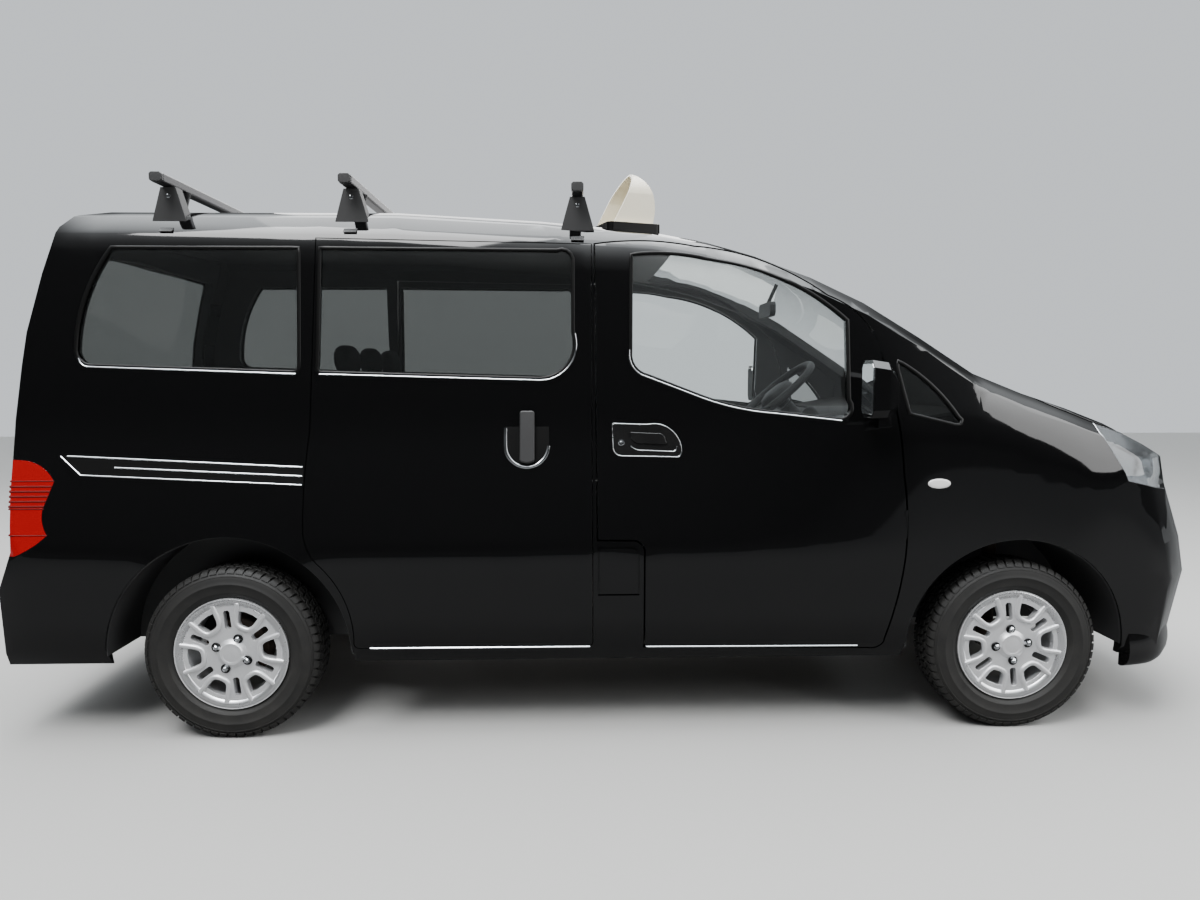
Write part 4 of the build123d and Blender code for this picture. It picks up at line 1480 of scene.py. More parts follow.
    def tyre(self, corner: Corner) -> None:
        """Carcass, side wall rings and tread blocks of one tyre.

        Args:
            corner: The wheel's place.
        """
        half = [self.bead, *self.wall_profile]
        profile = half + [(r, -y) for r, y in reversed(half)]
        carcass = lathe(f"tyre_carcass_{corner.name}", profile, corner.centre, corner.out, 128)
        blocks = []
        for number, row in enumerate(self.ribs):
            blocks.append((self.block(f"tread_{number}", *row), self.rib_turn * number))
        for number, sign in enumerate((1.0, -1.0)):
            blocks.append((self.shoulder(f"shoulder_{number}", sign), self.shoulder_turn * number))
        for block, start in blocks:
            self.ring.spread(
                block, Count=self.block_rows, Radius=self.tread_foot, Outboard=0.0,
                Start_angle=start, Centre=corner.centre, Finish=TYRE.material(),
            )
        tyre = merged(f"tyre_{corner.name}_dressed", [carcass, *(block for block, _ in blocks)])
        tyre.data.materials.clear()
        dress(soften(tyre, 0.0, 38.0), TYRE, corner.body)
        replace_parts(tyre, f"tyre_{corner.name}")

    def block(self, name: str, across: float, wide: float, long: float, lean: float) -> bpy.types.Object:
        """One block of a tread rib, X pointing away from the axle.

        Args:
            name: Name of the piece.
            across: Middle of the rib.
            wide: Half width.
            long: Length round the tyre.
            lean: Slant of its ends.

        Returns:
            The block's mesh.
        """
        depth, half, edge = self.tread_top - self.tread_foot, long / 2, self.block_edge
        points = []
        for height, inset in ((0.0, 0.0), (depth - edge, 0.0), (depth, edge)):
            for y, z in ((-1, -1), (1, -1), (1, 1), (-1, 1)):
                drop = (half * half) / self.tyre_across if height else 0.0
                side, end = across + y * (wide - inset), z * (half - inset) + y * wide * lean
                points.append((height - drop, side, end))
        faces = [(3, 2, 1, 0), (8, 9, 10, 11)]
        for ring in (0, 4):
            faces += [(ring + k, ring + (k + 1) % 4, ring + 4 + (k + 1) % 4, ring + 4 + k) for k in range(4)]
        return mesh_object(name, points, faces)

    def shoulder(self, name: str, sign: float) -> bpy.types.Object:
        """One shoulder block, turned down over the side wall.

        Args:
            name: Name of the piece.
            sign: Side of the tread.

        Returns:
            The block's mesh.
        """
        depth, first = self.tread_top - self.tread_foot, self.shoulder_start
        outline = [
            (0.0, first), (depth - 0.0002, 0.044), (depth - 0.0002, 0.058), (depth - 0.0022, 0.0655),
            (depth - 0.0075, 0.0722), (-0.0055, 0.0775), (-0.0075, 0.0735), (0.0, 0.060),
        ]
        points = []
        for z in (-self.shoulder_half, self.shoulder_half):
            points += [(x, sign * y, z + (y - first) * self.shoulder_lean) for x, y in outline]
        return prism(name, points)


@dataclass
class RoofGear:
    """Bars on clamped feet, and the cream vent cowl."""

    bar_x: tuple[float, ...] = (-1.573, -0.950, -0.169)
    cap_outline: tuple[Point2, ...] = (
        (-0.021, -0.010), (-0.021, 0.010), (-0.014, 0.0165), (0.014, 0.0165),
        (0.021, 0.010), (0.021, -0.010), (0.014, -0.0165), (-0.014, -0.0165),
    )
    cap_drop: float = 0.016
    cap_length: float = 0.016
    inlay_half: float = 0.010
    inlay_end: float = 0.004
    inlay_sink: float = 0.001
    clamp_y: float = 0.560
    clamp_half: float = 0.008
    lock_y: float = 0.6685
    lock_drop: float = 0.062
    lock_profile: tuple[Point2, ...] = (
        (0.0, 0.004), (0.004, 0.004), (0.0075, 0.0028), (0.0088, 0.0), (0.0088, -0.008), (0.0, -0.008),
    )
    tab_y: float = 0.705
    tab_outline: tuple[Point, ...] = (
        (-0.026, -0.050, 0.040), (0.026, -0.050, 0.040), (0.022, 0.0, 0.004), (-0.022, 0.0, 0.004),
    )
    # Height of the near-black band at the foot of the cowl.
    skirt: float = 0.040

    def build(self) -> None:
        """Dress bars and feet, and add caps, clamps and locks."""
        for node, bevel, finish, slot in (
            ("roof_bars", 0.004, BAR_METAL, "bar_metal"),
            ("roof_bar_feet", 0.006, BLACK_PLASTIC, "black_plastic"),
        ):
            obj = dress(soften(copy_node(node), bevel, 30.0), finish, "body")
            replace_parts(obj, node)
        self.fittings()
        self.cowl()

    def fittings(self) -> None:
        """Rubber inlays, end caps, clamps, locks and roof edge tabs of the three bars."""
        low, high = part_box("roof_bars")
        roof = Skin(("roof_panel", "side_body_right", "side_body_left"))
        bar_skin = Skin(("roof_bars",))
        caps, inlays, clamps, locks, tabs = [], [], [], [], []
        for number, x in enumerate(self.bar_x):
            top = bar_skin.cast((x, 0.0, 0.0), 2, 1.0)[0].z
            level, half = top - self.inlay_sink, self.inlay_half
            rear, front = low[1] + self.inlay_end, high[1] - self.inlay_end
            inlay = [(x - half, rear, level), (x + half, rear, level),
                     (x + half, front, level), (x - half, front, level)]
            inlays.append(slab(f"inlay_{number}", inlay, Vector((0, 0, 1)), 0.0022))
            for side in Side:
                sign = side.sign
                tag = f"{number}_{side.word}"
                outline = [(x + dx, sign * high[1], top - self.cap_drop + dz) for dx, dz in self.cap_outline]
                caps.append(slab(f"cap_{tag}", outline, Vector((0, sign, 0)), self.cap_length))
                clamps.append(self.clamp(f"clamp_{tag}", x, sign, top, roof))
                spot = (x, sign * self.lock_y, top - self.lock_drop)
                locks.append(lathe(f"lock_{tag}", self.lock_profile, spot, sign, 24, False))
                edge = roof.cast((x, sign * self.tab_y, 0.0), 2, 1.0)
                if edge is not None:
                    _, y, z = edge[0]
                    tab = [(x + dx, y + sign * dy, z + dz) for dx, dy, dz in self.tab_outline]
                    tabs.append(slab(f"tab_{tag}", tab, Vector((0, sign * 0.6, 0.8)), 0.003))
        for name, made, width, angle, finish, slot in (
            ("bar_inlays", inlays, 0.0, 32.0, SEAL_RUBBER, "black_plastic"),
            ("bar_caps", caps, 0.003, 30.0, BLACK_PLASTIC, "black_plastic"),
            ("bar_clamps", clamps, 0.002, 30.0, BLACK_PLASTIC, "black_plastic"),
            ("bar_locks", locks, 0.0, 35.0, CHROME, "bar_metal"),
            ("bar_tabs", tabs, 0.001, 30.0, BLACK_PLASTIC, "black_plastic"),
        ):
            dress(soften(merged(name, made), width, angle), finish, "body")

    def clamp(self, name: str, x: float, sign: float, top: float, roof: Skin) -> bpy.types.Object:
        """Inner clamp between a bar and the roof.

        Args:
            name: Name of the piece.
            x: Middle of the bar.
            sign: Side of the van.
            top: Height of the bar's upper face.
            roof: Surface of the roof.

        Returns:
            The clamp's mesh.
        """
        middle = sign * self.clamp_y
        foot = roof.cast((x, middle, 0.0), 2, 1.0)[0].z + 0.004
        rows = ((-0.030, top - 0.030), (0.030, top - 0.030), (0.022, top - 0.052),
                (0.010, foot), (-0.010, foot), (-0.022, top - 0.052))
        outline = [(x + dx, middle - self.clamp_half, z) for dx, z in rows]
        return slab(name, outline, Vector((0, 1, 0)), 2 * self.clamp_half)

    def cowl(self) -> None:
        """Cream vent cowl whose faces in the lowest 40 mm take the near-black seal finish."""
        cowl = soften(copy_node("vent_cowl"), 0.0018, 34.0, 3)
        cowl.data.materials.append(CREAM.material())
        cowl.data.materials.append(SEAL_RUBBER.material())
        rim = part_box("vent_cowl")[0][2] + self.skirt
        for face in cowl.data.polygons:
            if face.center.z < rim:
                face.material_index = 1
        dress(cowl, CREAM, "body")
        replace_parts(cowl, "vent_cowl")


@dataclass
class Lamps:
    """Headlamps with clear lenses over bowls, and red tail lamps with pressed lines."""

    lens_wall: float = 0.003
    housing_wall: float = 0.002
    looks_out: float = 0.45
    bowls: tuple[Point, ...] = ((0.640, 0.918, 0.044), (0.745, 0.935, 0.033))
    bowl_rings: tuple[float, ...] = (0.12, 0.3, 0.5, 0.7, 0.86, 1.0)
    bowl_depth: float = 0.9
    bowl_wall: float = 0.002
    behind: float = 0.022
    tail_lines: tuple[float, ...] = (0.898, 0.806, 0.719)
    tail_ribs: int = 5
    rib_start: float = 0.008
    rib_pitch: float = 0.0165

    def build(self) -> None:
        """Make both pairs of lamps."""
        self.head()
        self.tail()

    def half_skin(self, node: str, name: str, front: bool) -> bpy.types.Object:
        """Copy only the faces of a node that look away from the van, or only the others.

        Args:
            node: CAD node.
            name: Name of the new piece.
            front: Whether the faces that look away are kept.

        Returns:
            The open skin of the lamp.
        """
        obj = copy_node(node, 0.05)
        obj.name = name
        with editing(obj.data) as form:
            others = []
            for face in form.faces:
                facing = face.normal.dot(outward(face.calc_center_median()))
                if (facing >= self.looks_out) is not front:
                    others.append(face)
            bmesh.ops.delete(form, geom=others, context="FACES")
        return obj

    @staticmethod
    def solid(obj: bpy.types.Object, thickness: float) -> bpy.types.Object:
        """Thicken an open skin inwards.

        Args:
            obj: Open skin, facing outwards.
            thickness: Wall thickness in metres.

        Returns:
            The same object, closed.
        """
        wall = obj.modifiers.new("wall", "SOLIDIFY")
        wall.thickness = thickness
        wall.offset = -1.0
        wall.use_even_offset = False
        return bake(obj)

    def head(self) -> None:
        """Clear lens, silver housing behind it and two bowls a side."""
        lens = self.solid(self.half_skin("headlamps", "headlamp_lens", True), self.lens_wall)
        dress(soften(lens, 0.0, 40.0), LENS, "body")
        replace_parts(lens, "headlamps")
        housing = self.solid(self.half_skin("headlamps", "headlamp_housing", False), self.housing_wall)
        dress(soften(housing, 0.0, 30.0), HOUSING, "body")
        skin = Skin(("headlamps",))
        bowls, bulbs = [], []
        for y, z, radius in self.bowls:
            for side in Side:
                sign = side.sign
                name = f"{side.word}_{round(radius / MM)}"
                dish = [(radius * s, -radius * self.bowl_depth * (1 - s * s)) for s in self.bowl_rings]
                dish += [(r + self.bowl_wall, out - self.bowl_wall) for r, out in reversed(dish)]
                bowl = lathe(f"bowl_{name}", dish, ORIGIN, 1.0, 48)
                glass = [(0.0, radius * 0.1), (0.006, radius * 0.05), (0.009, -radius * 0.2),
                         (0.009, -radius * 0.8), (0.0, -radius * 0.8)]
                bulb = lathe(f"bulb_{name}", glass, ORIGIN, 1.0, 24, False)
                aim = Vector((0.93, sign * 0.34, 0.10)).normalized()
                front = skin.cast((0.0, sign * y, z), 0, 1.0)[0] - aim * self.behind
                place = swing(aim, front)
                bowl.data.transform(place)
                bulb.data.transform(place)
                bowls.append(bowl)
                bulbs.append(bulb)
        dress(soften(merged("headlamp_bowls", bowls), 0.0, 50.0), REFLECTOR, "body")
        dress(soften(merged("headlamp_bulbs", bulbs), 0.0, 50.0), LENS_WHITE, "body")

    def tail(self) -> None:
        """Red lenses, cut by dark lines, with ribs on the middle part."""
        lamps = dress(soften(copy_node("tail_lamps"), 0.004, 35.0, 3), TAIL_RED, "body")
        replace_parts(lamps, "tail_lamps")
        skin = Skin(("tail_lamps",))
        low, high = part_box("tail_lamps")
        foot = self.tail_lines[1] + self.rib_start
        rib_heights = tuple(foot + number * self.rib_pitch for number in range(self.tail_ribs))
        for name, heights, section in (
            ("line", self.tail_lines, pad_section(0.005, -0.004, 0.0012)),
            ("rib", rib_heights, pad_section(0.007, -0.004, 0.0014)),
        ):
            made = []
            for side in Side:
                for number, z in enumerate(heights):
                    path = self.across(skin, side, z, low[0], high[0])
                    if len(path) > 2:
                        made.append(strip(f"tail_{name}_{side.word}_{number}", path, section))
            dress(soften(merged(f"tail_lamp_{name}s", made), 0.0, 50.0), TAIL_DARK, "body")

    @staticmethod
    def across(skin: Skin, side: Side, z: float, start: float, end: float) -> list[tuple[Vector, Vector]]:
        """Level line over a tail lamp, from its rear to its front edge.

        Args:
            skin: Surface of the lamps.
            side: Side of the van.
            z: Height of the line.
            start: Rearmost X.
            end: Foremost X.

        Returns:
            Points on the lamp with their normals.
        """
        first, count, middle = start + 0.03, 30, 0.6
        path = []
        for k in range(count):
            x = first + (end - first) * k / (count - 1)
            found = skin.cast((x, 0.0, z), 1, side.sign)
            if found is not None and abs(found[0].y) > middle:
                path.append(found)
        return path


@dataclass
class Glazing:
    """Border and wipers of the windscreen, and the door mirrors' glass."""

    border: float = 0.042
    inset: float = 0.018
    screen: Outline = ((178, -556), [
        ((212, 0), (178, 556)), ((1196, 632),), ((1372, 0), (1196, -632)), ((178, -556),),
    ])
    tail: Outline = ((-560, 1180), [
        ((560, 1180),), ((590, 1186), (592, 1220)), ((536, 1660),), ((520, 1690), (490, 1694)),
        ((0, 1704), (-490, 1694)), ((-520, 1690), (-536, 1660)), ((-592, 1220),),
        ((-590, 1186), (-560, 1180)),
    ])
    blades: tuple[tuple[Point2, Point2, Point2], ...] = (
        ((1.180, -0.560), (1.285, 0.010), (1.345, -0.180)),
        ((1.290, 0.040), (1.200, 0.500), (1.330, 0.330)),
    )
    knob_profile: tuple[Point2, ...] = (
        (0.0, 0.030), (0.010, 0.030), (0.015, 0.022), (0.016, -0.004), (0.0, -0.004),
    )
    mirror: tuple[Point2, ...] = (
        (0.896, 1.124), (0.984, 1.124), (0.993, 1.134), (0.993, 1.276), (0.984, 1.288), (0.896, 1.288),
        (0.888, 1.276), (0.888, 1.134),
    )

    def build(self) -> None:
        """Make the borders, the wipers and the mirror glass."""
        top = Skin(("windscreen", "roof_panel", "side_body_right", "side_body_left", "scuttle_panel"))
        line = shift(trace(*self.screen, step=0.03)[:-1], self.inset, True)
        path = [found for found in (top.cast((x, y, 0.0), 2, 1.0) for x, y in line) if found is not None]
        piece = strip("windscreen_border", path, pad_section(self.border, -0.003, 0.0016), True)
        dress(soften(piece, 0.0, 60.0), SEAL_RUBBER, "body")
        rear = Skin(("tailgate_glass", "tailgate"))
        line = trace(*self.tail, step=0.03)[:-1]
        path = [found for found in (rear.cast((0.0, y, z), 0, -1.0) for y, z in line) if found is not None]
        piece = strip("tail_window_seal", path, pad_section(0.016, -0.004, 0.0018), True)
        dress(soften(piece, 0.0, 60.0), SEAL_RUBBER, body_name("tailgate"))
        self.wipers(top)
        for side in Side:
            sign = side.sign
            node = f"door_mirror_{side.word}"
            back = Skin((node,))
            outline = []
            for y, z in self.mirror:
                found = back.cast((0.0, sign * y, z), 0, -1.0)
                outline.append((found[0].x + 0.0015, sign * y, z))
            glass = slab(f"mirror_glass_{side.word}", outline, Vector((-1, 0, 0)), 0.003)
            dress(soften(glass, 0.001, 30.0), MIRROR, body_name(node))

    def wipers(self, top: Skin) -> None:
        """Two parked wipers over the lower edge of the windscreen.

        Args:
            top: Surface of the windscreen and what lies round it.
        """
        blades, arms = [], []
        for number, (start, end, pivot) in enumerate(self.blades):
            path = self.over(top, start, end, 0.006)
            blades.append(strip(f"blade_{number}", path, pad_section(0.007, -0.005, 0.010)))
            middle = ((start[0] + end[0]) / 2, (start[1] + end[1]) / 2)
            path = self.over(top, pivot, middle, 0.016)
            arms.append(strip(f"arm_{number}", path, pad_section(0.014, -0.004, 0.006)))
            foot, normal = top.cast((*pivot, 0.0), 2, 1.0)
            knob = lathe(f"pivot_{number}", self.knob_profile, ORIGIN, 1.0, 28, False)
            knob.data.transform(swing(normal, foot))
            arms.append(knob)
        dress(soften(merged("wiper_blades", blades), 0.0, 50.0), SEAL_RUBBER, "body")
        dress(soften(merged("wiper_arms", arms), 0.0, 40.0), BLACK_PLASTIC, "body")

    @staticmethod
    def over(top: Skin, start: Point2, end: Point2, rise: float) -> list[tuple[Vector, Vector]]:
        """Straight line in plan, lifted off the glass.

        Args:
            top: Surface below.
            start: First (x, y).
            end: Last (x, y).
            rise: Height over the surface.

        Returns:
            Points with normals.
        """
        path, steps = [], 16
        for k in range(steps + 1):
            x, y = (start[a] + (end[a] - start[a]) * k / steps for a in range(2))
            found = top.cast((x, y, 0.0), 2, 1.0)
            if found is not None:
                path.append((found[0] + found[1] * rise, found[1]))
        return path


@dataclass(frozen=True)
class Pad:
    """One cushion before padding: place, full size, lean about Y in degrees and crown of its faces."""

    name: str
    centre: Point
    size: Point
    lean: float
    crown: float


@dataclass
class Cabin:
    """Padded seats, dashboard and steering wheel, seen through the glass."""

    seat_y: float = 0.370
    seat_pads: tuple[Pad, ...] = (
        Pad("base", (0.262, -0.370, 0.682), (0.50, 0.44, 0.105), -3.0, 0.012),
        Pad("back", (-0.006, -0.370, 0.955), (0.105, 0.43, 0.47), -12.0, 0.010),
        Pad("rest", (-0.035, -0.370, 1.325), (0.066, 0.23, 0.115), -6.0, 0.006),
    )
    bench_pads: tuple[Pad, ...] = (
        Pad("bench_base", (-0.735, 0.0, 0.785), (0.44, 1.08, 0.105), -3.0, 0.012),
        Pad("bench_back", (-1.010, 0.0, 1.005), (0.085, 1.08, 0.40), -9.0, 0.010),
        Pad("bench_rest_middle", (-1.053, 0.0, 1.310), (0.060, 0.22, 0.115), -6.0, 0.006),
    )
    rest_pitch: float = 0.38
    pedestal: tuple[tuple[float, float, float, float, float], ...] = (
        (0.0, 0.42, 0.297, 0.47, 0.19), (-0.02, 0.48, 0.47, 0.625, 0.225),
    )
    stem_profile: tuple[Point2, ...] = ((0.0, 0.0), (0.006, 0.0), (0.006, 0.10), (0.0, 0.10))
    stem_foot: Point2 = (-0.052, 1.19)
    stem_half_gap: float = 0.055
    bench_half: float = 0.53
    bench_outline: tuple[Point2, ...] = ((-0.89, 0.525), (-0.57, 0.525), (-0.53, 0.722), (-0.93, 0.722))
    cuts: int = 9
    corner_pull: float = 0.10
    voxel: float = 0.013
    frames: int = 20
    pressure: float = 4.0
    cap: float = 0.016
    rim_radius: float = 0.170
    rim_tube: float = 0.0145
    tube_sides: int = 14
    hub: Point = (0.609, -0.370, 1.180)
    lean: Point2 = (0.656, 0.755)
    spoke: tuple[Point2, ...] = ((0.055, -0.006), (0.09, -0.012), (0.13, -0.012), (0.162, -0.002))
    pad_profile: tuple[Point2, ...] = (
        (0.0, 0.020), (0.045, 0.018), (0.066, 0.010), (0.074, -0.004), (0.068, -0.016), (0.0, -0.020),
    )
    boss_profile: tuple[Point2, ...] = ((0.0, -0.015), (0.030, -0.015), (0.026, -0.055), (0.0, -0.055))
    vents: tuple[float, ...] = (-0.64, -0.10, 0.10, 0.64)
    vent_face: Point2 = (0.704, 0.985)
    vent_half: float = 0.045
    slats: int = 4
    slat_depth: float = 0.010
    slat_pitch: float = 0.014
    slat_height: float = 0.006
    hood_middle: Point = (0.742, -0.37, 1.055)
    hood_half: Point2 = (0.145, 0.075)
    hood_steps: int = 12
    hood_depth: float = 0.16
    lever_line: tuple[tuple[Point, Point], ...] = (
        ((0.63, 0.0, 0.80), (1, 0, 0.2)), ((0.60, 0.0, 0.88), (1, 0, 0.3)), ((0.575, 0.0, 0.95), (1, 0, 0.3)),
    )
    console_width: float = 0.14
    console: tuple[Point, ...] = (
        (0.56, -0.07, 0.76), (0.745, -0.07, 0.72), (0.745, -0.07, 0.90), (0.60, -0.07, 0.83),
    )

    def build(self) -> None:
        """Make the cabin's pieces."""
        dash = soften(copy_node("dashboard"), 0.012, 30.0, 3)
        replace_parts(dress(dash, TRIM_PLASTIC, "body"), "dashboard")
        self.front_seats()
        self.bench()
        self.steering()
        self.dash_details()

    def pillow(self, pad: Pad, name: str) -> bpy.types.Object:
        """One cushion: a crowned box, leaned back and blown up by a cloth simulation.

        Args:
            pad: Place and size of the cushion.
            name: Name of the piece.

        Returns:
            The cushion's mesh.
        """
        form = bmesh.new()
        bmesh.ops.create_cube(form, size=1.0)
        bmesh.ops.subdivide_edges(form, edges=form.edges, cuts=self.cuts, use_grid_fill=True)
        thin = min(range(3), key=lambda k: pad.size[k])
        flat = [a for a in range(3) if a != thin]
        for vertex in form.verts:
            x, y, z = (2 * c for c in vertex.co)
            pull = 1.0 - self.corner_pull * ((x * y) ** 2 + (y * z) ** 2 + (x * z) ** 2)
            bulge = (1 - (2 * vertex.co[flat[0]]) ** 2) * (1 - (2 * vertex.co[flat[1]]) ** 2)
            spot = Vector([vertex.co[a] * pad.size[a] * pull for a in range(3)])
            if abs(vertex.co[thin]) > 0.49:
                spot[thin] += math.copysign(pad.crown * bulge, vertex.co[thin])
            vertex.co = spot
        turn = Matrix.Translation(pad.centre) @ Matrix.Rotation(math.radians(pad.lean), 4, "Y")
        bmesh.ops.transform(form, matrix=turn, verts=form.verts)
        mesh = bpy.data.meshes.new(name)
        form.to_mesh(mesh)
        form.free()
        obj = link(bpy.data.objects.new(name, mesh))
        self.inflate(obj)
        return obj

    def inflate(self, obj: bpy.types.Object) -> None:
        """Remesh a cushion and let cloth under pressure settle over it.

        Args:
            obj: Cushion before padding.
        """
        remesh = obj.modifiers.new("voxels", "REMESH")
        remesh.mode = "VOXEL"
        remesh.voxel_size = self.voxel
        bake(obj)
        start = [vertex.co.copy() for vertex in obj.data.vertices]
        cloth = obj.modifiers.new("padding", "CLOTH")
        cloth.settings.use_pressure = True
        cloth.settings.uniform_pressure_force = self.pressure
        cloth.settings.effector_weights.gravity = 0.0
        cloth.settings.quality = 4
        cloth.collision_settings.use_collision = False
        cloth.point_cache.frame_start = 1
        cloth.point_cache.frame_end = self.frames
        scene = bpy.context.scene
        for frame in range(1, self.frames + 1):
            scene.frame_set(frame)
        bake(obj)
        for vertex, place in zip(obj.data.vertices, start):
            move = vertex.co - place
            if move.length > self.cap:
                vertex.co = place + move.normalized() * self.cap
        scene.frame_set(1)
        obj.modifiers.new("smooth", "SUBSURF").levels = 1
        obj.modifiers["smooth"].render_levels = 1
        bake(obj)

    @staticmethod
    def finish_pad(obj: bpy.types.Object) -> None:
        dress(soften(obj, 0.0, 70.0), SEAT_CLOTH, "body")

    @staticmethod
    def copy_across(obj: bpy.types.Object, name: str, shift_y: float) -> bpy.types.Object:
        """Copy a cushion and move it along Y.

        Args:
            obj: The cushion.
            name: Name of the copy.
            shift_y: Length of the move.

        Returns:
            The copy.
        """
        mesh = obj.data.copy()
        mesh.transform(Matrix.Translation((0.0, shift_y, 0.0)))
        return link(bpy.data.objects.new(name, mesh))

    def front_seats(self) -> None:
        """Two seats with base, back, head rest and pedestal."""
        pieces = {pad.name: self.pillow(pad, f"seat_{pad.name}_right") for pad in self.seat_pads}
        for part, obj in pieces.items():
            twin = self.copy_across(obj, f"seat_{part}_left", 2 * self.seat_y)
            self.finish_pad(obj)
            self.finish_pad(twin)
        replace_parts(pieces["base"], "front_seats")
        shells, stems = [], []
        for side in Side:
            middle = side.value * self.seat_y
            for number, (x0, x1, z0, z1, half) in enumerate(self.pedestal):
                edge = middle - half
                outline = [(x0, edge, z0), (x1, edge, z0), (x1, edge, z1), (x0, edge, z1)]
                shells.append(slab(f"pedestal_{side.word}_{number}", outline, Vector((0, 1, 0)), 2 * half))
            for offset in (-self.stem_half_gap, self.stem_half_gap):
                stem = lathe(f"stem_{side.word}", self.stem_profile, ORIGIN, 1.0, 16, False)
                place = (self.stem_foot[0], middle + offset, self.stem_foot[1])
                stem.data.transform(swing(Vector((0.1, 0, 1)), place))
                stems.append(stem)
        dress(soften(merged("seat_pedestals", shells), 0.012, 30.0), BLACK_PLASTIC, "body")
        dress(soften(merged("head_rest_stems", stems), 0.0, 40.0), CHROME, "body")

    def bench(self) -> None:
        """Rear bench with three head rests."""
        base, back, rest = (self.pillow(pad, pad.name) for pad in self.bench_pads)
        sides = []
        for side in Side:
            sides.append(self.copy_across(rest, f"bench_rest_{side.word}", self.rest_pitch * side.value))
        for obj in (base, back, rest, *sides):
            self.finish_pad(obj)
        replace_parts(base, "rear_bench")
        outline = [(x, -self.bench_half, z) for x, z in self.bench_outline]
        frame = slab("bench_frame", outline, Vector((0, 1, 0)), 2 * self.bench_half)
        dress(soften(frame, 0.01, 30.0), BLACK_PLASTIC, "body")

    def steering(self) -> None:
        """Round rim, three spokes and a soft hub pad."""
        x_dir = Vector((self.lean[1], 0.0, self.lean[0]))
        axis = Vector((-self.lean[0], 0.0, self.lean[1]))
        angles = [math.tau * k / self.tube_sides for k in range(self.tube_sides)]
        tube = [(self.rim_radius + self.rim_tube * math.cos(a), self.rim_tube * math.sin(a)) for a in angles]
        frame = Matrix((x_dir, axis, x_dir.cross(axis))).transposed().to_4x4()
        place = Matrix.Translation(self.hub) @ frame
        pieces = []
        for name, profile, steps, ring in (
            ("rim", tube, 72, True),
            ("pad", self.pad_profile, 40, False),
            ("boss", self.boss_profile, 32, False),
        ):
            piece = lathe(f"steering_{name}", profile, ORIGIN, 1.0, steps, ring)
            piece.data.transform(place)
            pieces.append(piece)
        for number, angle in enumerate((180.0, 90.0, 270.0)):
            turn = math.radians(angle)
            way = x_dir * math.cos(turn) + x_dir.cross(axis) * math.sin(turn)
            path = [(Vector(self.hub) + way * r + axis * h, axis) for r, h in self.spoke]
            pieces.append(strip(f"steering_spoke_{number}", path, pad_section(0.034, -0.005, 0.006)))
        wheel = merged("steering_wheel_dressed", pieces)
        dress(soften(wheel, 0.0, 45.0), BLACK_PLASTIC, body_name("steering_wheel"))
        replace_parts(wheel, "steering_wheel")

    def dash_details(self) -> None:
        """Instrument hood, air vents and gear lever."""
        rows = []
        x, foot = self.vent_face
        for y in self.vents:
            left, right = y - self.vent_half, y + self.vent_half
            for k in range(self.slats):
                z = foot + self.slat_pitch * k
                top = z + self.slat_height
                outline = [(x, left, z), (x, right, z), (x, right, top), (x, left, top)]
                rows.append(slab(f"vent_{y}_{k}", outline, Vector((-1, 0, 0)), self.slat_depth))
        dress(soften(merged("dash_vents", rows), 0.001, 30.0), BLACK_PLASTIC, "body")
        points = []
        x, y, z = self.hood_middle
        for k in range(self.hood_steps + 1):
            angle = math.pi * k / self.hood_steps
            across, up = self.hood_half[0] * math.cos(angle), self.hood_half[1] * math.sin(angle)
            points.append((x, y + across, z + up))
        hood = slab("instrument_hood", points, Vector((1, 0, 0)), self.hood_depth)
        dress(soften(hood, 0.008, 30.0), TRIM_PLASTIC, "body")
        path = [(Vector(spot), Vector(normal)) for spot, normal in self.lever_line]
        lever = strip("gear_lever", path, pad_section(0.020, -0.008, 0.008))
        console = slab("gear_console", self.console, Vector((0, 1, 0)), self.console_width)
        lever = merged("gear_lever", [lever, console])
        dress(soften(lever, 0.003, 30.0), BLACK_PLASTIC, "body")


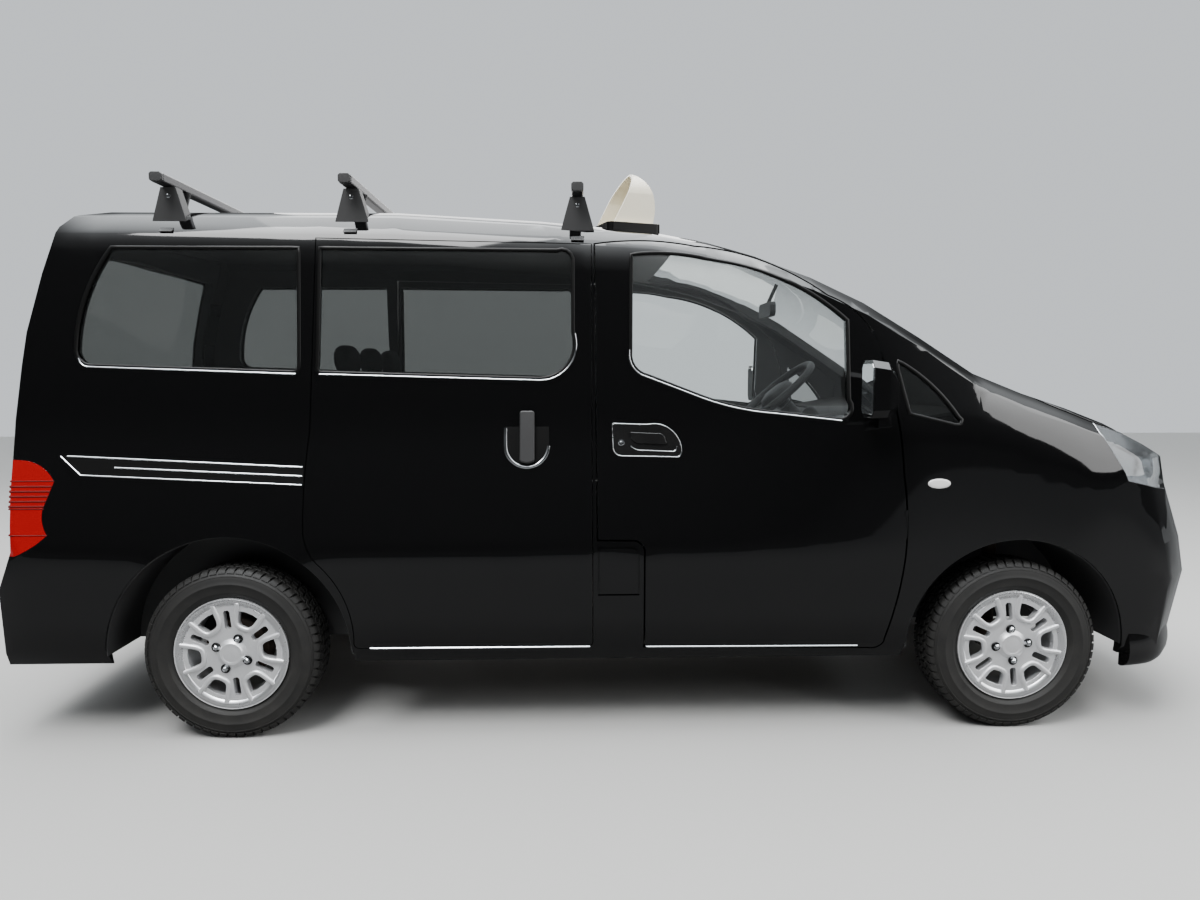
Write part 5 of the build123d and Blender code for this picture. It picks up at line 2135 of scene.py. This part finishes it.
@dataclass
class Underside:
    """Small fittings that the plain CAD pieces lack."""

    lip_middle: Point = (1.45, 0.0, 0.300)
    lip_span: float = 70.0
    lip_steps: int = 66
    lip_smooth: int = 4
    lip_section: tuple[Point2, ...] = (
        (0.062, -0.005), (0.040, 0.002), (0.018, 0.007), (-0.006, 0.011),
        (-0.030, 0.0125), (-0.052, 0.010), (-0.070, 0.003), (-0.083, -0.009),
        (-0.088, -0.022), (-0.086, -0.034), (-0.040, -0.034), (0.0, -0.020),
    )
    tip_profile: tuple[Point2, ...] = ((0.0225, 0.0), (0.0245, 0.0), (0.0245, 0.11), (0.0225, 0.11))
    tip_start: Point = (-1.985, 0.1, 0.24)

    def build(self) -> None:
        """Lip under the front bumper and the exhaust tip."""
        self.lip()
        self.tip()

    def lip(self) -> None:
        """Dark lip that follows the front bumper's lower edge round the nose."""
        tree = Skin(("front_bumper",)).tree
        middle = Vector(self.lip_middle)
        path = []
        for k in range(self.lip_steps + 1):
            turn = math.radians(self.lip_span * (2 * k / self.lip_steps - 1))
            way = Vector((math.cos(turn), math.sin(turn), 0.0))
            hit = tree.ray_cast(middle + way * 2.0, -way, 2.0)[0]
            if hit is not None:
                path.append(hit)
        for _ in range(self.lip_smooth):
            inner = [(a + b * 2.0 + c) / 4.0 for a, b, c in zip(path, path[1:], path[2:])]
            path = [path[0], *inner, path[-1]]
        spots = []
        for k, hit in enumerate(path):
            run = path[min(k + 3, len(path) - 1)] - path[max(k - 3, 0)]
            spots.append((hit, Vector((run.y, -run.x, 0.0)).normalized()))
        piece = strip("front_bumper_lip", spots, self.lip_section)
        dress(soften(piece, 0.0, 50.0), PAINT, "body")

    def tip(self) -> None:
        """Exhaust tip behind the silencer."""
        tip = lathe("exhaust_tip", self.tip_profile, ORIGIN, 1.0, 36)
        tip.data.transform(swing(Vector((-1, 0, -0.12)), self.tip_start))
        dress(soften(tip, 0.0, 50.0), CHROME, "body")


@dataclass
class Studio:
    """Plain floor, soft lights and the photograph's camera."""

    eye: Point = (-0.179, -3.696, 1.256)
    yaw: float = 1.66
    pitch: float = 5.1
    roll: float = 0.08
    focal_px: float = 850.0
    photo_px: float = 1200.0
    floor: float = 14.0
    floor_colour: Point = (0.52, 0.52, 0.51)
    # Floor colour that glossy rays see: painted shade of the ground in the body's reflections.
    floor_mirrored: Point = (0.09, 0.09, 0.09)
    sky: Point = (0.78, 0.82, 0.86)
    bands: tuple[Point2, ...] = (
        (0.0, 0.05), (0.50, 0.06), (0.535, 0.025), (0.66, 0.08), (0.80, 0.70), (1.0, 1.0),
    )
    zenith: float = 9.0
    zenith_start: float = 0.45
    lights: tuple[tuple[str, Point, float, float], ...] = (
        ("key", (-2.5, -5.0, 7.5), 4.0, 760.0),
        ("fill", (5.5, -3.0, 3.5), 4.0, 260.0),
        ("top", (0.0, 0.5, 6.5), 6.0, 420.0),
        ("back", (-1.0, 6.0, 4.0), 5.0, 300.0),
    )

    def build(self) -> None:
        """Make the floor, the world, the lights and the camera."""
        self.ground()
        self.world()
        for light in self.lights:
            self.lamp(*light)
        self.camera()

    def ground(self) -> None:
        """Pale floor under the tyres; in reflections it turns dark, a painted shade of the ground."""
        half, z = self.floor, -MM
        points = [(-half, -half, z), (half, -half, z), (half, half, z), (-half, half, z)]
        floor = mesh_object("floor", points, [(0, 1, 2, 3)])
        material = Finish("studio_floor", self.floor_colour, 0.8).material()
        kit = NodeKit(material.node_tree)
        # Glossy rays see the floor in its dark colour: painted shade of the ground, seen only in reflections.
        ray = kit.add("ShaderNodeLightPath")
        mix = kit.add("ShaderNodeMix", data_type="RGBA")
        mix.inputs["A"].default_value = (*self.floor_colour, 1.0)
        mix.inputs["B"].default_value = (*self.floor_mirrored, 1.0)
        clear = kit.maths("SUBTRACT", 1.0, ray.outputs["Is Transmission Ray"])
        kit.link(kit.maths("MULTIPLY", ray.outputs["Is Glossy Ray"], clear), mix.inputs["Factor"])
        kit.link(mix.outputs["Result"], material.node_tree.nodes["Principled BSDF"].inputs["Base Color"])
        floor.data.materials.append(material)

    def world(self) -> None:
        """Even pale surroundings, darker towards the horizon where only reflections see them."""
        world = bpy.data.worlds.new("studio")
        world.use_nodes = True
        kit = NodeKit(world.node_tree)
        background = world.node_tree.nodes["Background"]
        place = kit.add("ShaderNodeTexCoord")
        split = kit.add("ShaderNodeSeparateXYZ")
        kit.link(place.outputs["Generated"], split.inputs[0])
        ramp = kit.add("ShaderNodeValToRGB")
        for count, (at, value) in enumerate(self.bands):
            stop = ramp.color_ramp.elements[count] if count < 2 else ramp.color_ramp.elements.new(at)
            stop.position = at
            stop.color = (value * 0.93, value * 0.97, value, 1.0)
        kit.link(kit.maths("MULTIPLY_ADD", split.outputs["Z"], 0.5, 0.5), ramp.inputs[0])
        ray = kit.add("ShaderNodeLightPath")
        mix = kit.add("ShaderNodeMix", data_type="RGBA")
        seen = kit.maths("MAXIMUM", ray.outputs["Is Camera Ray"], ray.outputs["Is Transmission Ray"])
        kit.link(seen, mix.inputs["Factor"])
        above = kit.maths("SUBTRACT", split.outputs["Z"], self.zenith_start)
        high = kit.maths("MULTIPLY", above, 2.2, clamp=True)
        extra = kit.maths("MULTIPLY", kit.maths("MULTIPLY", high, high), self.zenith)
        mirrored = kit.maths("MULTIPLY", ray.outputs["Is Glossy Ray"], kit.maths("SUBTRACT", 1.0, seen))
        strength = kit.maths("ADD", kit.maths("MULTIPLY", extra, mirrored), 1.0)
        kit.link(strength, background.inputs["Strength"])
        kit.link(ramp.outputs["Color"], mix.inputs["A"])
        mix.inputs["B"].default_value = (*self.sky, 1.0)
        kit.link(mix.outputs["Result"], background.inputs["Color"])
        bpy.context.scene.world = world

    def lamp(self, name: str, place: Point, size: float, power: float) -> None:
        """Add a soft area light that looks at the van.

        Args:
            name: Name of the light.
            place: Position in metres.
            size: Edge length of the light.
            power: Power in watts.
        """
        data = bpy.data.lights.new(name, "AREA")
        data.size = size
        data.energy = power
        obj = link(bpy.data.objects.new(name, data))
        obj.location = place
        obj.visible_transmission = False
        obj.rotation_mode = "QUATERNION"
        obj.rotation_quaternion = (Vector((0, 0, 0.8)) - Vector(place)).to_track_quat("-Z", "Y")

    def camera(self) -> None:
        """The camera fitted to the photograph."""
        data = bpy.data.cameras.new("photo")
        data.sensor_width = 36.0
        data.lens = 36.0 * self.focal_px / self.photo_px
        obj = link(bpy.data.objects.new("photo", data))
        yaw, pitch, roll = (math.radians(v) for v in (self.yaw, self.pitch, self.roll))
        look = Vector((math.sin(yaw) * math.cos(pitch), math.cos(yaw) * math.cos(pitch), -math.sin(pitch)))
        obj.rotation_mode = "QUATERNION"
        turn = Matrix.Rotation(roll, 3, look) @ look.to_track_quat("-Z", "Y").to_matrix()
        obj.rotation_quaternion = turn.to_quaternion()
        obj.location = self.eye
        bpy.context.scene.camera = obj


def main() -> None:
    """Build every sub-assembly in order."""
    logging.basicConfig(level=logging.INFO, format="%(message)s")
    for part in (
        OuterSkins, CadSkins, SideTrim, Wheels, RoofGear, Lamps, Glazing, Cabin, Underside, Studio,
    ):
        LOG.info("Building %s", part.__name__)
        part().build()


if __name__ == "__main__":
    main()
